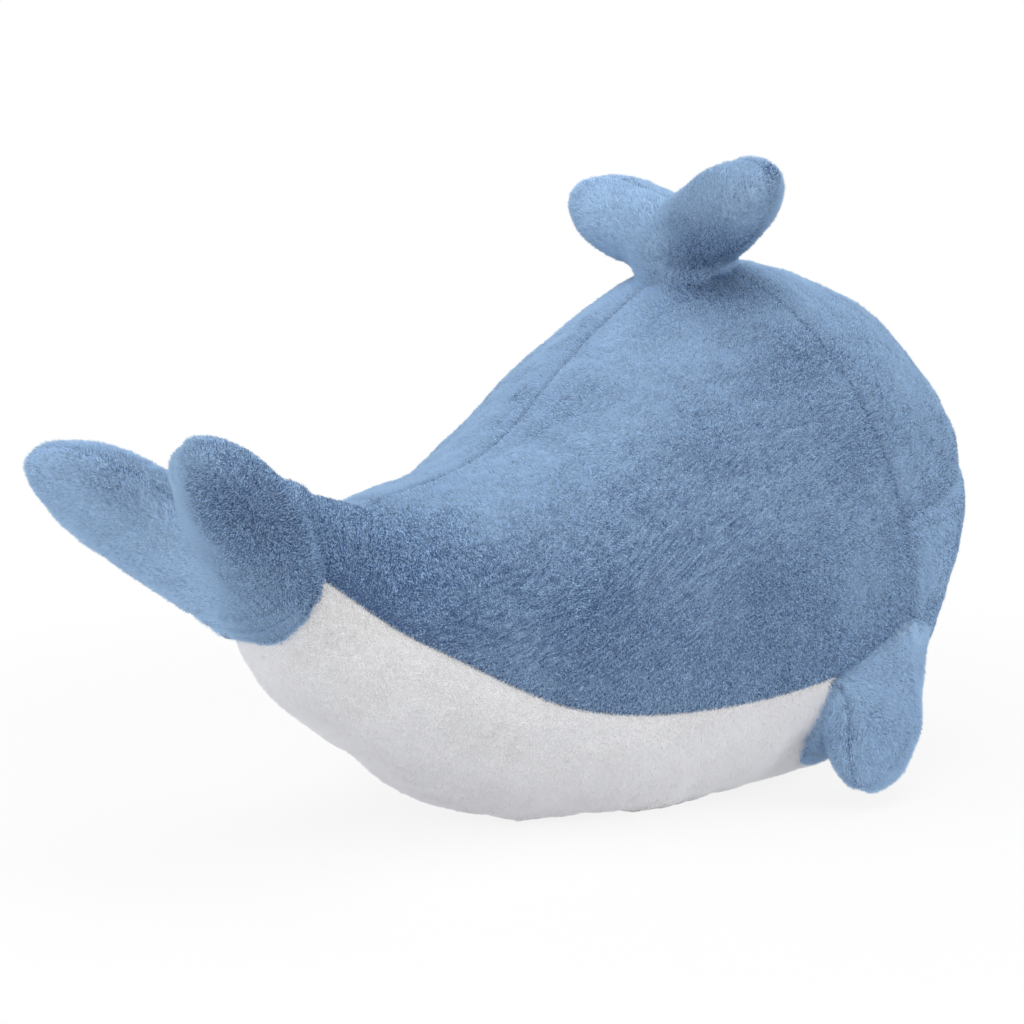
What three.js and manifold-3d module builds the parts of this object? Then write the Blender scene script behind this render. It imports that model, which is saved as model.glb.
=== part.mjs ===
import * as THREE from "three";
import { mergeVertices } from "three/addons/utils/BufferGeometryUtils.js";
import Module from "manifold-3d";

// A stuffed whale that rests on its pressed belly: plush panels sewn over soft filling, with a fluke,
// a spout and two fins that bend where they are sewn on. Millimetres, +X towards the head, +Y to the
// whale's left, +Z up, with the origin on the floor under the middle of the body.

// Stations along the body, tail to head: a spine point, the half width, the rise and drop from the
// spine, and the angle of the belly seam, measured round the ring from its top.
const TAIL = { x: -226, z: 164, halfWidth: 49, rise: 42, drop: 42, seam: 91 };
const STOCK = { x: -173, z: 135, halfWidth: 73, rise: 63, drop: 78, seam: 97 };
const WAIST = { x: -94, z: 130, halfWidth: 106, rise: 84, drop: 138, seam: 109 };
const CHEST = { x: 5, z: 141, halfWidth: 143, rise: 132, drop: 158, seam: 114 };
const HEAD = { x: 120, z: 174, halfWidth: 140, rise: 151, drop: 178, seam: 117 };
const NOSE_REACH = 123;
const CHIN_RISE = 35;
const PRESS_BLEND = 6;

// Plush and the room that its seams and filling need.
const PLUSH = 5;
const SEAM_GAP = 0.3;
const FILLING_ROOM = 2.6;
const LIMB_FILLING_ROOM = 0.6;

// Two-lobed fluke: the lobes spread from a point low on the tail, pitched up and rolled a little.
const FLUKE = { length: 155, rootWidth: 30, width: 47, rootThickness: 16, thickness: 25, swellAt: 93 };
const FLUKE_PITCH = 60;
const FLUKE_SPREAD = 30;
const FLUKE_ROLL = -12;
const FLUKE_BEND = 0.21;
const FLUKE_SETBACK = 8;
const FLUKE_BELOW_SPINE = 29;
const FLUKE_NECK = 45;
const FLUKE_SWING = [-15, 15];

// Two-lobed spout on a short stem, sewn in where the back meets the forehead.
const SPOUT = { length: 101, rootWidth: 25, width: 27, rootThickness: 24, thickness: 30, swellAt: 50 };
const SPOUT_SPREAD = 69;
const SPOUT_LEAN = 8;
const SPOUT_ROLL = 6;
const SPOUT_AT = 3.9;
const SPOUT_STEM = { height: 17, halfWidth: 32, halfDepth: 25, drawnIn: 8, sunk: 22 };
const SPOUT_SWING = [-20, 20];

// Fins: paddles that hang from the belly seam beside the head seam.
const FIN = { length: 92, rootWidth: 38, width: 48, rootThickness: 16, thickness: 20, swellAt: 65 };
const FIN_AT = 3.78;
const FIN_LIFT = 5;
const FIN_SPLAY = -8;
const FIN_SWEEP = -26;
const FIN_BEND = 0.13;
const FIN_SWING = [-10, 45];

// Safety eyes: a dome sunk in the pile, a shank through the forehead and a washer behind it.
const EYE = { radius: 8, height: 6, sunk: 3.6, shankRadius: 2.4, shankLength: 7.5 };
const EYE_AT = { station: 4.7, angle: 62 };
const WASHER = { radius: 8, thickness: 1.6 };

// Facets of the panels, lobes and round pieces.
const LENGTH_STEPS = 14;
const SIDE_STEPS = 8;
const BELLY_STEPS = 14;
const CHIN_STEPS = 2;
const FOREHEAD_STEPS = [6, 14];
const FACE_STEPS = 5;
const CHEEK_STEPS = 2;
const FILLING_STEPS = { along: 12, round: 18, nose: 5 };
const OUTSIDE_STEPS = { along: 26, round: 60, nose: 14 };
const OUTSIDE_FACET_ROOM = 0.5;
const LOBE_STEPS = { along: 6, round: 10 };
const TIP_CROWDING = 1.6;
const MIDPLANE_STEPS = 6;
const FLAT_STEPS = 1;
const ROUND_STEPS = 12;
const DOME_STEPS = 4;
const MERGE_DISTANCE = 1e-4;

// The step, in stations or radians, over which the body's directions are measured.
const PROBE = 0.01;

const wasm = await Module();
wasm.setup();

const DEGREE = Math.PI / 180;
const STATIONS = [TAIL, STOCK, WAIST, CHEST, HEAD];
const HEAD_SEAM = STATIONS.length - 1;
const NOSE_TIP = STATIONS.length;
const Y_AXIS = new THREE.Vector3(0, 1, 0);
const Z_AXIS = new THREE.Vector3(0, 0, 1);

// The sizes level off at the head seam, so the head's cap carries on smoothly from the last ring.
const levelled = [...STATIONS, CHEST];
const spine = new THREE.CatmullRomCurve3(
  STATIONS.map((p) => new THREE.Vector3(p.x, 0, p.z)), false, "catmullrom", 0.5);
const girths = new THREE.CatmullRomCurve3(
  levelled.map((p) => new THREE.Vector3(p.halfWidth, p.rise, p.drop)), false, "catmullrom", 0.5);
const seams = new THREE.CatmullRomCurve3(
  levelled.map((p) => new THREE.Vector3(p.seam, 0, 0)), false, "catmullrom", 0.5);

function ringAt(station, inset) {
  const along = spine.getTangent(station / HEAD_SEAM);
  const girth = girths.getPoint(station / NOSE_TIP);
  return {
    centre: spine.getPoint(station / HEAD_SEAM),
    along,
    up: new THREE.Vector3(-along.z, 0, along.x),
    halfWidth: girth.x - inset,
    rise: girth.y - inset,
    drop: girth.z - inset,
  };
}

function seamAngle(station) {
  return seams.getPoint(station / NOSE_TIP).x * DEGREE;
}

// Height above the floor after the belly is pressed flat, with a smooth edge to the pressed patch.
function pressed(height) {
  if (height >= PRESS_BLEND) return height;
  if (height <= -PRESS_BLEND) return 0;
  return (height + PRESS_BLEND) ** 2 / (4 * PRESS_BLEND);
}

// A point of the body, inset from its outside. The angle runs round a ring from the top, positive to
// the left. Stations past the head seam lean over the half ellipsoid of the head to the nose tip.
function bodyPoint(station, angle, inset) {
  const onRing = Math.min(station, HEAD_SEAM);
  const lean = (station - onRing) * 90 * DEGREE;
  const ring = ringAt(onRing, inset);
  const height = Math.cos(angle) > 0 ? ring.rise : ring.drop;
  const point = ring.centre
    .addScaledVector(ring.up, height * Math.cos(angle) * Math.cos(lean))
    .addScaledVector(ring.along, (NOSE_REACH - inset) * Math.sin(lean));
  point.y = ring.halfWidth * Math.sin(angle) * Math.cos(lean);
  point.z = inset + pressed(point.z - inset);
  return point;
}

// The same head seen as a fan about the axis through its two sides: elevation 90 degrees at the top
// of the head seam, 0 at the nose and -90 at the bottom, with side angles to the left and right.
function headPoint(elevation, side, inset) {
  const ring = ringAt(HEAD_SEAM, inset);
  const height = elevation > 0 ? ring.rise : ring.drop;
  const point = ring.centre
    .addScaledVector(ring.along, (NOSE_REACH - inset) * Math.cos(elevation) * Math.cos(side))
    .addScaledVector(ring.up, height * Math.sin(elevation) * Math.cos(side));
  point.y = ring.halfWidth * Math.sin(side);
  point.z = inset + pressed(point.z - inset);
  return point;
}

function outwardAt(station, angle) {
  const here = bodyPoint(station, angle, 0);
  const ahead = bodyPoint(station + PROBE, angle, 0).sub(here);
  const round = bodyPoint(station, angle + PROBE, 0).sub(here);
  return ahead.cross(round).normalize();
}

// One closed body: only the positions, with equal points merged and empty triangles left out.
function cleaned(geometry) {
  const bare = new THREE.BufferGeometry();
  bare.setAttribute("position", geometry.getAttribute("position").clone());
  bare.setIndex(geometry.getIndex().clone());
  const merged = mergeVertices(bare, MERGE_DISTANCE);
  const index = merged.getIndex().array;
  const kept = [];
  for (let i = 0; i < index.length; i += 3) {
    const [a, b, c] = [index[i], index[i + 1], index[i + 2]];
    if (a !== b && b !== c && c !== a) kept.push(a, b, c);
  }
  merged.setIndex(kept);
  return facingOut(merged);
}

function closedGeometry(points, triangles) {
  const raw = new THREE.BufferGeometry().setFromPoints(points);
  raw.setIndex(triangles.flat());
  return cleaned(raw);
}

function facingOut(geometry) {
  const position = geometry.getAttribute("position");
  const index = Array.from(geometry.getIndex().array);
  const corner = (i) => new THREE.Vector3().fromBufferAttribute(position, index[i]);
  let volume = 0;
  for (let i = 0; i < index.length; i += 3) {
    volume += corner(i).dot(corner(i + 1).cross(corner(i + 2)));
  }
  if (volume < 0) geometry.setIndex(index.reverse());
  return geometry;
}

function gridTriangles(rows, columns, first, flipped) {
  const at = (i, j) => first + i * (columns + 1) + j;
  const triangles = [];
  for (let i = 0; i < rows; i += 1) {
    for (let j = 0; j < columns; j += 1) {
      const [a, b, c, d] = [at(i, j), at(i + 1, j), at(i + 1, j + 1), at(i, j + 1)];
      triangles.push(flipped ? [a, c, b] : [a, b, c], flipped ? [a, d, c] : [a, c, d]);
    }
  }
  return triangles;
}

// A closed slab between two grids of points at the two depths, with a wall round their edges.
function slabGeometry(rows, columns, depths, pointAt) {
  const points = [];
  for (const depth of depths) {
    for (let i = 0; i <= rows; i += 1) {
      for (let j = 0; j <= columns; j += 1) points.push(pointAt(i, j, depth));
    }
  }
  const far = (rows + 1) * (columns + 1);
  const triangles = [
    ...gridTriangles(rows, columns, 0, false),
    ...gridTriangles(rows, columns, far, true),
  ];
  const at = (i, j) => i * (columns + 1) + j;
  const edge = [];
  for (let i = 0; i < rows; i += 1) edge.push(at(i, 0));
  for (let j = 0; j < columns; j += 1) edge.push(at(rows, j));
  for (let i = rows; i > 0; i -= 1) edge.push(at(i, columns));
  for (let j = columns; j > 0; j -= 1) edge.push(at(0, j));
  edge.forEach((a, k) => {
    const b = edge[(k + 1) % edge.length];
    triangles.push([b, a, a + far], [b, a + far, b + far]);
  });
  return closedGeometry(points, triangles);
}

// A sewn panel: its plush face, its lining and the cut edge between them.
function panelGeometry(rows, columns, pointAt) {
  return slabGeometry(rows, columns, [0, PLUSH], pointAt);
}

// A closed form of stacked rings, each capped by a fan at its two ends.
function stackedGeometry(rings) {
  const round = rings[0].length;
  const points = rings.flat();
  const triangles = [];
  for (let i = 0; i + 1 < rings.length; i += 1) {
    for (let j = 0; j < round; j += 1) {
      const next = (j + 1) % round;
      const [a, b] = [i * round + j, i * round + next];
      triangles.push([a, b, b + round], [a, b + round, a + round]);
    }
  }
  for (const [end, start] of [[rings[0], 0], [rings.at(-1), (rings.length - 1) * round]]) {
    const middle = end.reduce((sum, p) => sum.add(p), new THREE.Vector3()).divideScalar(round);
    points.push(middle);
    for (let j = 0; j < round; j += 1) {
      const fan = [points.length - 1, start + (j + 1) % round, start + j];
      triangles.push(start === 0 ? fan : fan.reverse());
    }
  }
  return closedGeometry(points, triangles);
}

function solidOf(geometry) {
  const clean = cleaned(geometry);
  return new wasm.Manifold(new wasm.Mesh({
    numProp: 3,
    vertProperties: new Float32Array(clean.getAttribute("position").array),
    triVerts: new Uint32Array(clean.getIndex().array),
  }));
}

// The largest body of a solid, so that no loose sliver of a cut is kept.
function geometryOf(solid) {
  const whole = solid.decompose().sort((a, b) => b.volume() - a.volume())[0];
  const mesh = whole.getMesh();
  const geometry = new THREE.BufferGeometry();
  geometry.setAttribute("position", new THREE.BufferAttribute(new Float32Array(mesh.vertProperties), 3));
  geometry.setIndex(new THREE.BufferAttribute(new Uint32Array(mesh.triVerts), 1));
  return geometry;
}

const whale = new THREE.Group();

function addPiece(name, geometry, material) {
  geometry.computeVertexNormals();
  const mesh = new THREE.Mesh(geometry, new THREE.MeshStandardMaterial(material));
  mesh.name = name;
  whale.add(mesh);
}

const BLUE_PLUSH = { color: 0x7992b1, roughness: 0.95, metalness: 0 };
const BELLY_PLUSH = { color: 0xd0d1d4, roughness: 0.95, metalness: 0 };
const WHITE_FIBRE = { color: 0xeeeeea, roughness: 1, metalness: 0 };
const BLACK_PLASTIC = { color: 0x0c0d10, roughness: 0.15, metalness: 0 };
const MILKY_PLASTIC = { color: 0xdcdcd6, roughness: 0.5, metalness: 0 };

// Stations of the panels' rows from the tail to the head seam: the last but one lies under the spout.
function rowStation(row) {
  if (row >= LENGTH_STEPS) return HEAD_SEAM;
  return (Math.min(SPOUT_AT, HEAD_SEAM) * row) / (LENGTH_STEPS - 1);
}

// Side panels, from the seam along the back to the belly seam and from the tail to the head seam.
function sidePanel(side) {
  return panelGeometry(LENGTH_STEPS, SIDE_STEPS, (i, j, inset) => {
    const station = rowStation(i);
    const ring = ringAt(station, 0);
    const halfGap = SEAM_GAP / 2 / Math.min(ring.halfWidth, ring.drop, ring.rise);
    const angle = THREE.MathUtils.lerp(halfGap, seamAngle(station) - halfGap, j / SIDE_STEPS);
    const point = bodyPoint(station, side * angle, inset);
    if (i === LENGTH_STEPS) point.addScaledVector(ring.along, -SEAM_GAP / 2);
    return point;
  });
}

// The belly panel's front edge: it rises to the chin between the two fins.
const bellySide = 180 * DEGREE - seamAngle(HEAD_SEAM);
function chinElevation(side) {
  const across = Math.min(1, Math.abs(side) / bellySide);
  return (-90 + CHIN_RISE * Math.sqrt(1 - across ** 4)) * DEGREE;
}

function bellyPanel() {
  return panelGeometry(LENGTH_STEPS + CHIN_STEPS, BELLY_STEPS, (i, j, inset) => {
    const station = rowStation(i);
    const ring = ringAt(station, 0);
    const halfGap = SEAM_GAP / 2 / Math.min(ring.halfWidth, ring.drop);
    const edge = 180 * DEGREE - seamAngle(station) - halfGap;
    const side = edge * (2 * j / BELLY_STEPS - 1);
    if (i <= LENGTH_STEPS) return bodyPoint(station, 180 * DEGREE - side, inset);
    const onward = (i - LENGTH_STEPS) / CHIN_STEPS;
    const rim = chinElevation(side * bellySide / edge);
    return headPoint(THREE.MathUtils.lerp(-90 * DEGREE, rim, onward), side, inset);
  });
}

// Moves a head panel off the head seam, and up off the face seam, by its share of the gaps.
function clearOfSeams(geometry, upShare) {
  const ring = ringAt(HEAD_SEAM, 0);
  const move = ring.along.multiplyScalar(SEAM_GAP / 2).addScaledVector(ring.up, SEAM_GAP * upShare);
  return geometry.translate(move.x, move.y, move.z);
}

function foreheadPanel() {
  const [rows, columns] = FOREHEAD_STEPS;
  const panel = panelGeometry(rows, columns, (i, j, inset) => (
    headPoint((90 * DEGREE * i) / rows, 90 * DEGREE * (2 * j / columns - 1), inset)));
  return clearOfSeams(panel, 1);
}

// Side angles of the face panel: two cheeks beside the head seam and the stretch above the chin.
function faceColumns() {
  const columns = [];
  for (let k = 0; k < CHEEK_STEPS; k += 1) {
    columns.push(THREE.MathUtils.lerp(-90 * DEGREE, -bellySide, k / CHEEK_STEPS));
  }
  for (let k = 0; k <= BELLY_STEPS; k += 1) columns.push(bellySide * (2 * k / BELLY_STEPS - 1));
  for (let k = 1; k <= CHEEK_STEPS; k += 1) {
    columns.push(THREE.MathUtils.lerp(bellySide, 90 * DEGREE, k / CHEEK_STEPS));
  }
  return columns;
}

function facePanel() {
  const columns = faceColumns();
  const gap = (2 * SEAM_GAP) / HEAD.drop;
  const panel = panelGeometry(FACE_STEPS, columns.length - 1, (i, j, inset) => {
    const rim = chinElevation(columns[j]);
    const lowest = rim > -90 * DEGREE ? rim + gap : rim;
    return headPoint((lowest * i) / FACE_STEPS, columns[j], inset);
  });
  return clearOfSeams(panel, 0);
}

// The whole body as rings from the tail to the nose, inset from its outside.
function bodyGeometry(inset, steps) {
  const stations = [];
  for (let i = 0; i <= steps.along; i += 1) stations.push((i / steps.along) * HEAD_SEAM);
  for (let i = 1; i <= steps.nose; i += 1) stations.push(HEAD_SEAM + i / steps.nose);
  const rings = stations.map((station) => (
    Array.from({ length: steps.round }, (_, j) => (
      bodyPoint(station, (360 * DEGREE * j) / steps.round, inset)))));
  return stackedGeometry(rings);
}

// The body with a seam gap round it, which no limb may enter.
function bodyWithRoom() {
  return bodyGeometry(-SEAM_GAP - OUTSIDE_FACET_ROOM, OUTSIDE_STEPS);
}

// One lobe of a limb, lying along X with its thickness along Z, inset from its outside. The hollow of
// a cover starts its plush further back, so that its root is open, and a filling just short of that.
function lobeGeometry(lobe, inset) {
  const swell = lobe.swellAt / lobe.length;
  const start = inset === 0 ? 0 : inset - 2 * PLUSH;
  const rings = [];
  for (let i = 0; i <= LOBE_STEPS.along; i += 1) {
    const onward = 1 - (1 - i / LOBE_STEPS.along) ** TIP_CROWDING;
    const filling = Math.sin(90 * DEGREE * Math.min(1, onward / swell));
    const closing = Math.sqrt(Math.max(0, 1 - (Math.max(0, onward - swell) / (1 - swell)) ** 2));
    const width = (THREE.MathUtils.lerp(lobe.rootWidth, lobe.width, filling) - inset) * closing;
    const depth = (THREE.MathUtils.lerp(lobe.rootThickness, lobe.thickness, filling) - inset) * closing;
    rings.push(Array.from({ length: LOBE_STEPS.round }, (_, j) => {
      const turn = (360 * DEGREE * j) / LOBE_STEPS.round;
      const reach = THREE.MathUtils.lerp(start, lobe.length - inset, onward);
      return new THREE.Vector3(reach, width * Math.cos(turn), depth * Math.sin(turn));
    }));
  }
  return stackedGeometry(rings);
}

// How far a limb's middle surface is bent out of its plane at a point.
function bendAt(limb, x, y) {
  return (limb.bend * (x * x + y * y)) / limb.lobe.length;
}

// The outside of a limb in the body's frame, or the same form inset by a thickness.
function limbSolid(limb, inset) {
  const lobes = limb.spreads.map((spread) => {
    const geometry = lobeGeometry(limb.lobe, inset)
      .rotateZ(spread * DEGREE)
      .translate(limb.rootAt, 0, 0);
    const position = geometry.getAttribute("position");
    for (let k = 0; k < position.count; k += 1) {
      position.setZ(k, position.getZ(k) + bendAt(limb, position.getX(k), position.getY(k)));
    }
    return solidOf(geometry.applyMatrix4(limb.frame));
  });
  const neck = limb.neck ? [solidOf(limb.neck(inset))] : [];
  return [...lobes, ...neck].reduce((whole, piece) => whole.add(piece));
}

// Everything on one side of a limb's middle surface, short of it by half a seam gap.
function halfSpace(limb, side) {
  const reach = 2 * limb.lobe.length;
  const steps = limb.bend === 0 ? FLAT_STEPS : MIDPLANE_STEPS;
  const at = (k) => reach * (2 * k / steps - 1);
  return solidOf(slabGeometry(steps, steps, [0, side * reach], (i, j, far) => {
    const height = bendAt(limb, at(i), at(j)) + (side * SEAM_GAP) / 2 + far;
    return new THREE.Vector3(at(i), at(j), height).applyMatrix4(limb.frame);
  }));
}

// Cuts a limb's root clear of the body at rest and as it swings to its limits.
function cutClear(limb, solid) {
  const [low, high] = limb.swing;
  return [low, 0, high].reduce((rest, turn) => {
    const blocker = limb.blocker().translate(-limb.pivot.x, -limb.pivot.y, -limb.pivot.z);
    blocker.applyMatrix4(new THREE.Matrix4().makeRotationAxis(limb.axis, -turn * DEGREE));
    blocker.translate(limb.pivot.x, limb.pivot.y, limb.pivot.z);
    return rest.subtract(solidOf(blocker));
  }, solid);
}

// A limb's cover on the Z side of its frame, the cover on the other side, and its filling.
function limbPieces(limb) {
  const outside = cutClear(limb, limbSolid(limb, 0));
  const cover = outside.subtract(limbSolid(limb, PLUSH));
  return [
    geometryOf(cover.intersect(halfSpace(limb, 1))),
    geometryOf(cover.intersect(halfSpace(limb, -1))),
    geometryOf(outside.intersect(limbSolid(limb, PLUSH + LIMB_FILLING_ROOM))),
  ];
}

function frameOf(along, across, origin) {
  const through = new THREE.Vector3().crossVectors(along, across);
  return new THREE.Matrix4().makeBasis(along, across, through).setPosition(origin);
}

// Fluke: it turns up and down about the line across the tail's end.
function flukeLimb() {
  const tail = ringAt(0, 0);
  const pitch = FLUKE_PITCH * DEGREE;
  const along = new THREE.Vector3(-Math.cos(pitch), 0, Math.sin(pitch));
  const across = Y_AXIS.clone().applyAxisAngle(along, -FLUKE_ROLL * DEGREE);
  const root = tail.centre.clone()
    .addScaledVector(tail.along, FLUKE_SETBACK)
    .addScaledVector(tail.up, -FLUKE_BELOW_SPINE);
  const reach = 2 * FLUKE.length;
  return {
    lobe: FLUKE,
    bend: FLUKE_BEND,
    rootAt: 0,
    spreads: [FLUKE_SPREAD, -FLUKE_SPREAD],
    frame: frameOf(along, across, root),
    pivot: tail.centre,
    axis: Y_AXIS,
    swing: FLUKE_SWING,
    // the domed end of the tail, which the lobes grow out of
    neck: (inset) => {
      const rings = [];
      for (let k = 0; k <= DOME_STEPS; k += 1) {
        const lean = (90 * DEGREE * k) / DOME_STEPS;
        const out = (FLUKE_NECK - inset) * Math.sin(lean) - (k === 0 ? FLUKE_SETBACK + inset : 0);
        rings.push(Array.from({ length: LOBE_STEPS.round }, (_, j) => {
          const rim = bodyPoint(0, (360 * DEGREE * j) / LOBE_STEPS.round, inset);
          return rim.lerp(tail.centre, 1 - Math.cos(lean)).addScaledVector(tail.along, -out);
        }));
      }
      return stackedGeometry(rings);
    },
    // everything ahead of the tail's end
    blocker: () => new THREE.BoxGeometry(reach, reach, reach)
      .translate(reach / 2 - SEAM_GAP, 0, 0)
      .applyMatrix4(frameOf(tail.along, Y_AXIS, tail.centre)),
  };
}

// Spout: it nods forwards and back about the seam across the top of the head.
function spoutLimb() {
  const root = bodyPoint(SPOUT_AT, 0, 0);
  const along = Z_AXIS.clone().applyAxisAngle(Y_AXIS, -SPOUT_LEAN * DEGREE);
  const forward = new THREE.Vector3().crossVectors(Y_AXIS, along).normalize();
  along.applyAxisAngle(forward, -SPOUT_ROLL * DEGREE);
  const across = new THREE.Vector3().crossVectors(along, forward).normalize();
  const frame = frameOf(along, across, root);
  return {
    lobe: SPOUT,
    bend: 0,
    rootAt: SPOUT_STEM.height,
    spreads: [SPOUT_SPREAD, -SPOUT_SPREAD],
    frame,
    pivot: root,
    axis: Y_AXIS,
    swing: SPOUT_SWING,
    // the stem, drawn in towards its top, where the lobes spread
    neck: (inset) => {
      const stem = (height, drawnIn) => Array.from({ length: LOBE_STEPS.round }, (_, j) => {
        const turn = (360 * DEGREE * j) / LOBE_STEPS.round;
        const width = SPOUT_STEM.halfWidth - drawnIn - inset;
        const depth = SPOUT_STEM.halfDepth - drawnIn - inset;
        const point = new THREE.Vector3(height, width * Math.cos(turn), depth * Math.sin(turn));
        return point.applyMatrix4(frame);
      });
      return stackedGeometry([
        stem(-SPOUT_STEM.sunk - inset, 0),
        stem(SPOUT_STEM.height / 2, SPOUT_STEM.drawnIn / 4),
        stem(SPOUT_STEM.height + SPOUT.rootWidth / 2, SPOUT_STEM.drawnIn),
      ]);
    },
    blocker: bodyWithRoom,
  };
}

// Right fin: it swings out from the body, and in under it, about the belly seam that holds it.
function finLimb() {
  const rootAngle = (station) => -seamAngle(station);
  const root = bodyPoint(FIN_AT, rootAngle(FIN_AT), 0);
  const forward = bodyPoint(FIN_AT + PROBE, rootAngle(FIN_AT + PROBE), 0).sub(root).normalize();
  const down = Z_AXIS.clone().negate().addScaledVector(forward, forward.z).normalize();
  const outward = new THREE.Vector3().crossVectors(down, forward).normalize();
  const hang = down.clone().multiplyScalar(Math.cos(FIN_SPLAY * DEGREE))
    .addScaledVector(outward, Math.sin(FIN_SPLAY * DEGREE));
  const sweep = FIN_SWEEP * DEGREE;
  const along = hang.clone().multiplyScalar(Math.cos(sweep)).addScaledVector(forward, Math.sin(sweep));
  const across = forward.clone().multiplyScalar(Math.cos(sweep)).addScaledVector(hang, -Math.sin(sweep));
  return {
    lobe: FIN,
    bend: FIN_BEND,
    rootAt: -FIN_LIFT,
    spreads: [0],
    frame: frameOf(along, across, root),
    pivot: root,
    axis: forward.negate(),
    swing: FIN_SWING,
    blocker: bodyWithRoom,
  };
}

function mirrored(geometry) {
  const copy = geometry.clone().scale(1, -1, 1);
  copy.setIndex(Array.from(copy.getIndex().array).reverse());
  return copy;
}

// A piece turned about Z from a profile of radii and heights.
function turned(profile) {
  const points = profile.map(([radius, height]) => new THREE.Vector2(radius, height));
  return new THREE.LatheGeometry(points, ROUND_STEPS).rotateX(90 * DEGREE);
}

// Safety eye and washer, with the outside of the plush at height 0.
function eyeGeometry() {
  const seat = -EYE.sunk;
  const shankEnd = seat - EYE.shankLength;
  const profile = [[0, shankEnd], [EYE.shankRadius, shankEnd], [EYE.shankRadius, seat], [EYE.radius, seat]];
  for (let k = 1; k <= DOME_STEPS; k += 1) {
    const turn = (90 * DEGREE * k) / DOME_STEPS;
    profile.push([EYE.radius * Math.cos(turn), seat + EYE.height * Math.sin(turn)]);
  }
  return turned(profile);
}

function washerGeometry() {
  const top = -PLUSH - SEAM_GAP;
  const bore = EYE.shankRadius + SEAM_GAP;
  const bottom = top - WASHER.thickness;
  const rim = WASHER.radius;
  return turned([[bore, bottom], [rim, bottom], [rim, top], [bore, top], [bore, bottom]]);
}

// A round hole between two depths below the outside of the plush.
function holeGeometry(radius, top, bottom) {
  return new THREE.CylinderGeometry(radius, radius, top - bottom, ROUND_STEPS)
    .rotateX(90 * DEGREE)
    .translate(0, 0, (top + bottom) / 2);
}

function eyeFrame(side) {
  const angle = side * EYE_AT.angle * DEGREE;
  const turn = new THREE.Quaternion().setFromUnitVectors(Z_AXIS, outwardAt(EYE_AT.station, angle));
  const place = bodyPoint(EYE_AT.station, angle, 0);
  return new THREE.Matrix4().makeRotationFromQuaternion(turn).setPosition(place);
}

// Body
let forehead = solidOf(foreheadPanel());
let filling = solidOf(bodyGeometry(PLUSH + FILLING_ROOM, FILLING_STEPS));
for (const [name, side] of [["right", -1], ["left", 1]]) {
  const frame = eyeFrame(side);
  const shankEnd = -EYE.sunk - EYE.shankLength - SEAM_GAP;
  const cut = (radius, top, bottom) => (
    solidOf(holeGeometry(radius + SEAM_GAP, top, bottom).applyMatrix4(frame)));
  forehead = forehead.subtract(cut(EYE.radius, PLUSH, -EYE.sunk - SEAM_GAP));
  forehead = forehead.subtract(cut(EYE.shankRadius, PLUSH, shankEnd));
  forehead = forehead.subtract(cut(WASHER.radius, -PLUSH, shankEnd));
  filling = filling.subtract(cut(WASHER.radius, 0, shankEnd));
  addPiece(`${name}_eye`, cleaned(eyeGeometry()).applyMatrix4(frame), BLACK_PLASTIC);
  addPiece(`${name}_eye_washer`, cleaned(washerGeometry()).applyMatrix4(frame), MILKY_PLASTIC);
  addPiece(`${name}_side_panel`, sidePanel(side), BLUE_PLUSH);
}

addPiece("forehead_panel", geometryOf(forehead), BLUE_PLUSH);
addPiece("face_panel", facePanel(), BLUE_PLUSH);
addPiece("belly_panel", bellyPanel(), BELLY_PLUSH);
addPiece("body_filling", geometryOf(filling), WHITE_FIBRE);

// Limbs
const [flukeLower, flukeUpper, flukeFilling] = limbPieces(flukeLimb());
addPiece("fluke_lower_cover", flukeLower, BLUE_PLUSH);
addPiece("fluke_upper_cover", flukeUpper, BLUE_PLUSH);
addPiece("fluke_filling", flukeFilling, WHITE_FIBRE);

const [spoutBack, spoutFront, spoutFilling] = limbPieces(spoutLimb());
addPiece("spout_back_cover", spoutBack, BLUE_PLUSH);
addPiece("spout_front_cover", spoutFront, BLUE_PLUSH);
addPiece("spout_filling", spoutFilling, WHITE_FIBRE);

const [finOuter, finInner, finFilling] = limbPieces(finLimb());
for (const [name, copy] of [["right", (geometry) => geometry], ["left", mirrored]]) {
  addPiece(`${name}_fin_outer_cover`, copy(finOuter), BLUE_PLUSH);
  addPiece(`${name}_fin_inner_cover`, copy(finInner), BLUE_PLUSH);
  addPiece(`${name}_fin_filling`, copy(finFilling), WHITE_FIBRE);
}

export default whale;
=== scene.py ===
import math

import bmesh
import bpy
import numpy as np
from mathutils import Matrix, Vector


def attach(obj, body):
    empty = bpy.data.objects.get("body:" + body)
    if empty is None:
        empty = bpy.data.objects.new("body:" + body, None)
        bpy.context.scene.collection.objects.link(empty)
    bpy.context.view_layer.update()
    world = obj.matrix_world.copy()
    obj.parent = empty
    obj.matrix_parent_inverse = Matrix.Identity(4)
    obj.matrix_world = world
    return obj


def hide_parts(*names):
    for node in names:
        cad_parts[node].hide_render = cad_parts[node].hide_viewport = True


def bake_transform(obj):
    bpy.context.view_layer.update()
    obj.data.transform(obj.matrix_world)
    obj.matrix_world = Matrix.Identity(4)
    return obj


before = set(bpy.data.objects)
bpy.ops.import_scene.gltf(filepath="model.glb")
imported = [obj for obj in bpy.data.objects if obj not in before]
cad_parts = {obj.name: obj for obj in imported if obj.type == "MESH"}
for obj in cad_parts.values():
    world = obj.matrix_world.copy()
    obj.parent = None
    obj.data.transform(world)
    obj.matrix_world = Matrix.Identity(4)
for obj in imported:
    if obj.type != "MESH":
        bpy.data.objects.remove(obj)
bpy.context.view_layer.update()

DEGREE = math.pi / 180

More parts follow.
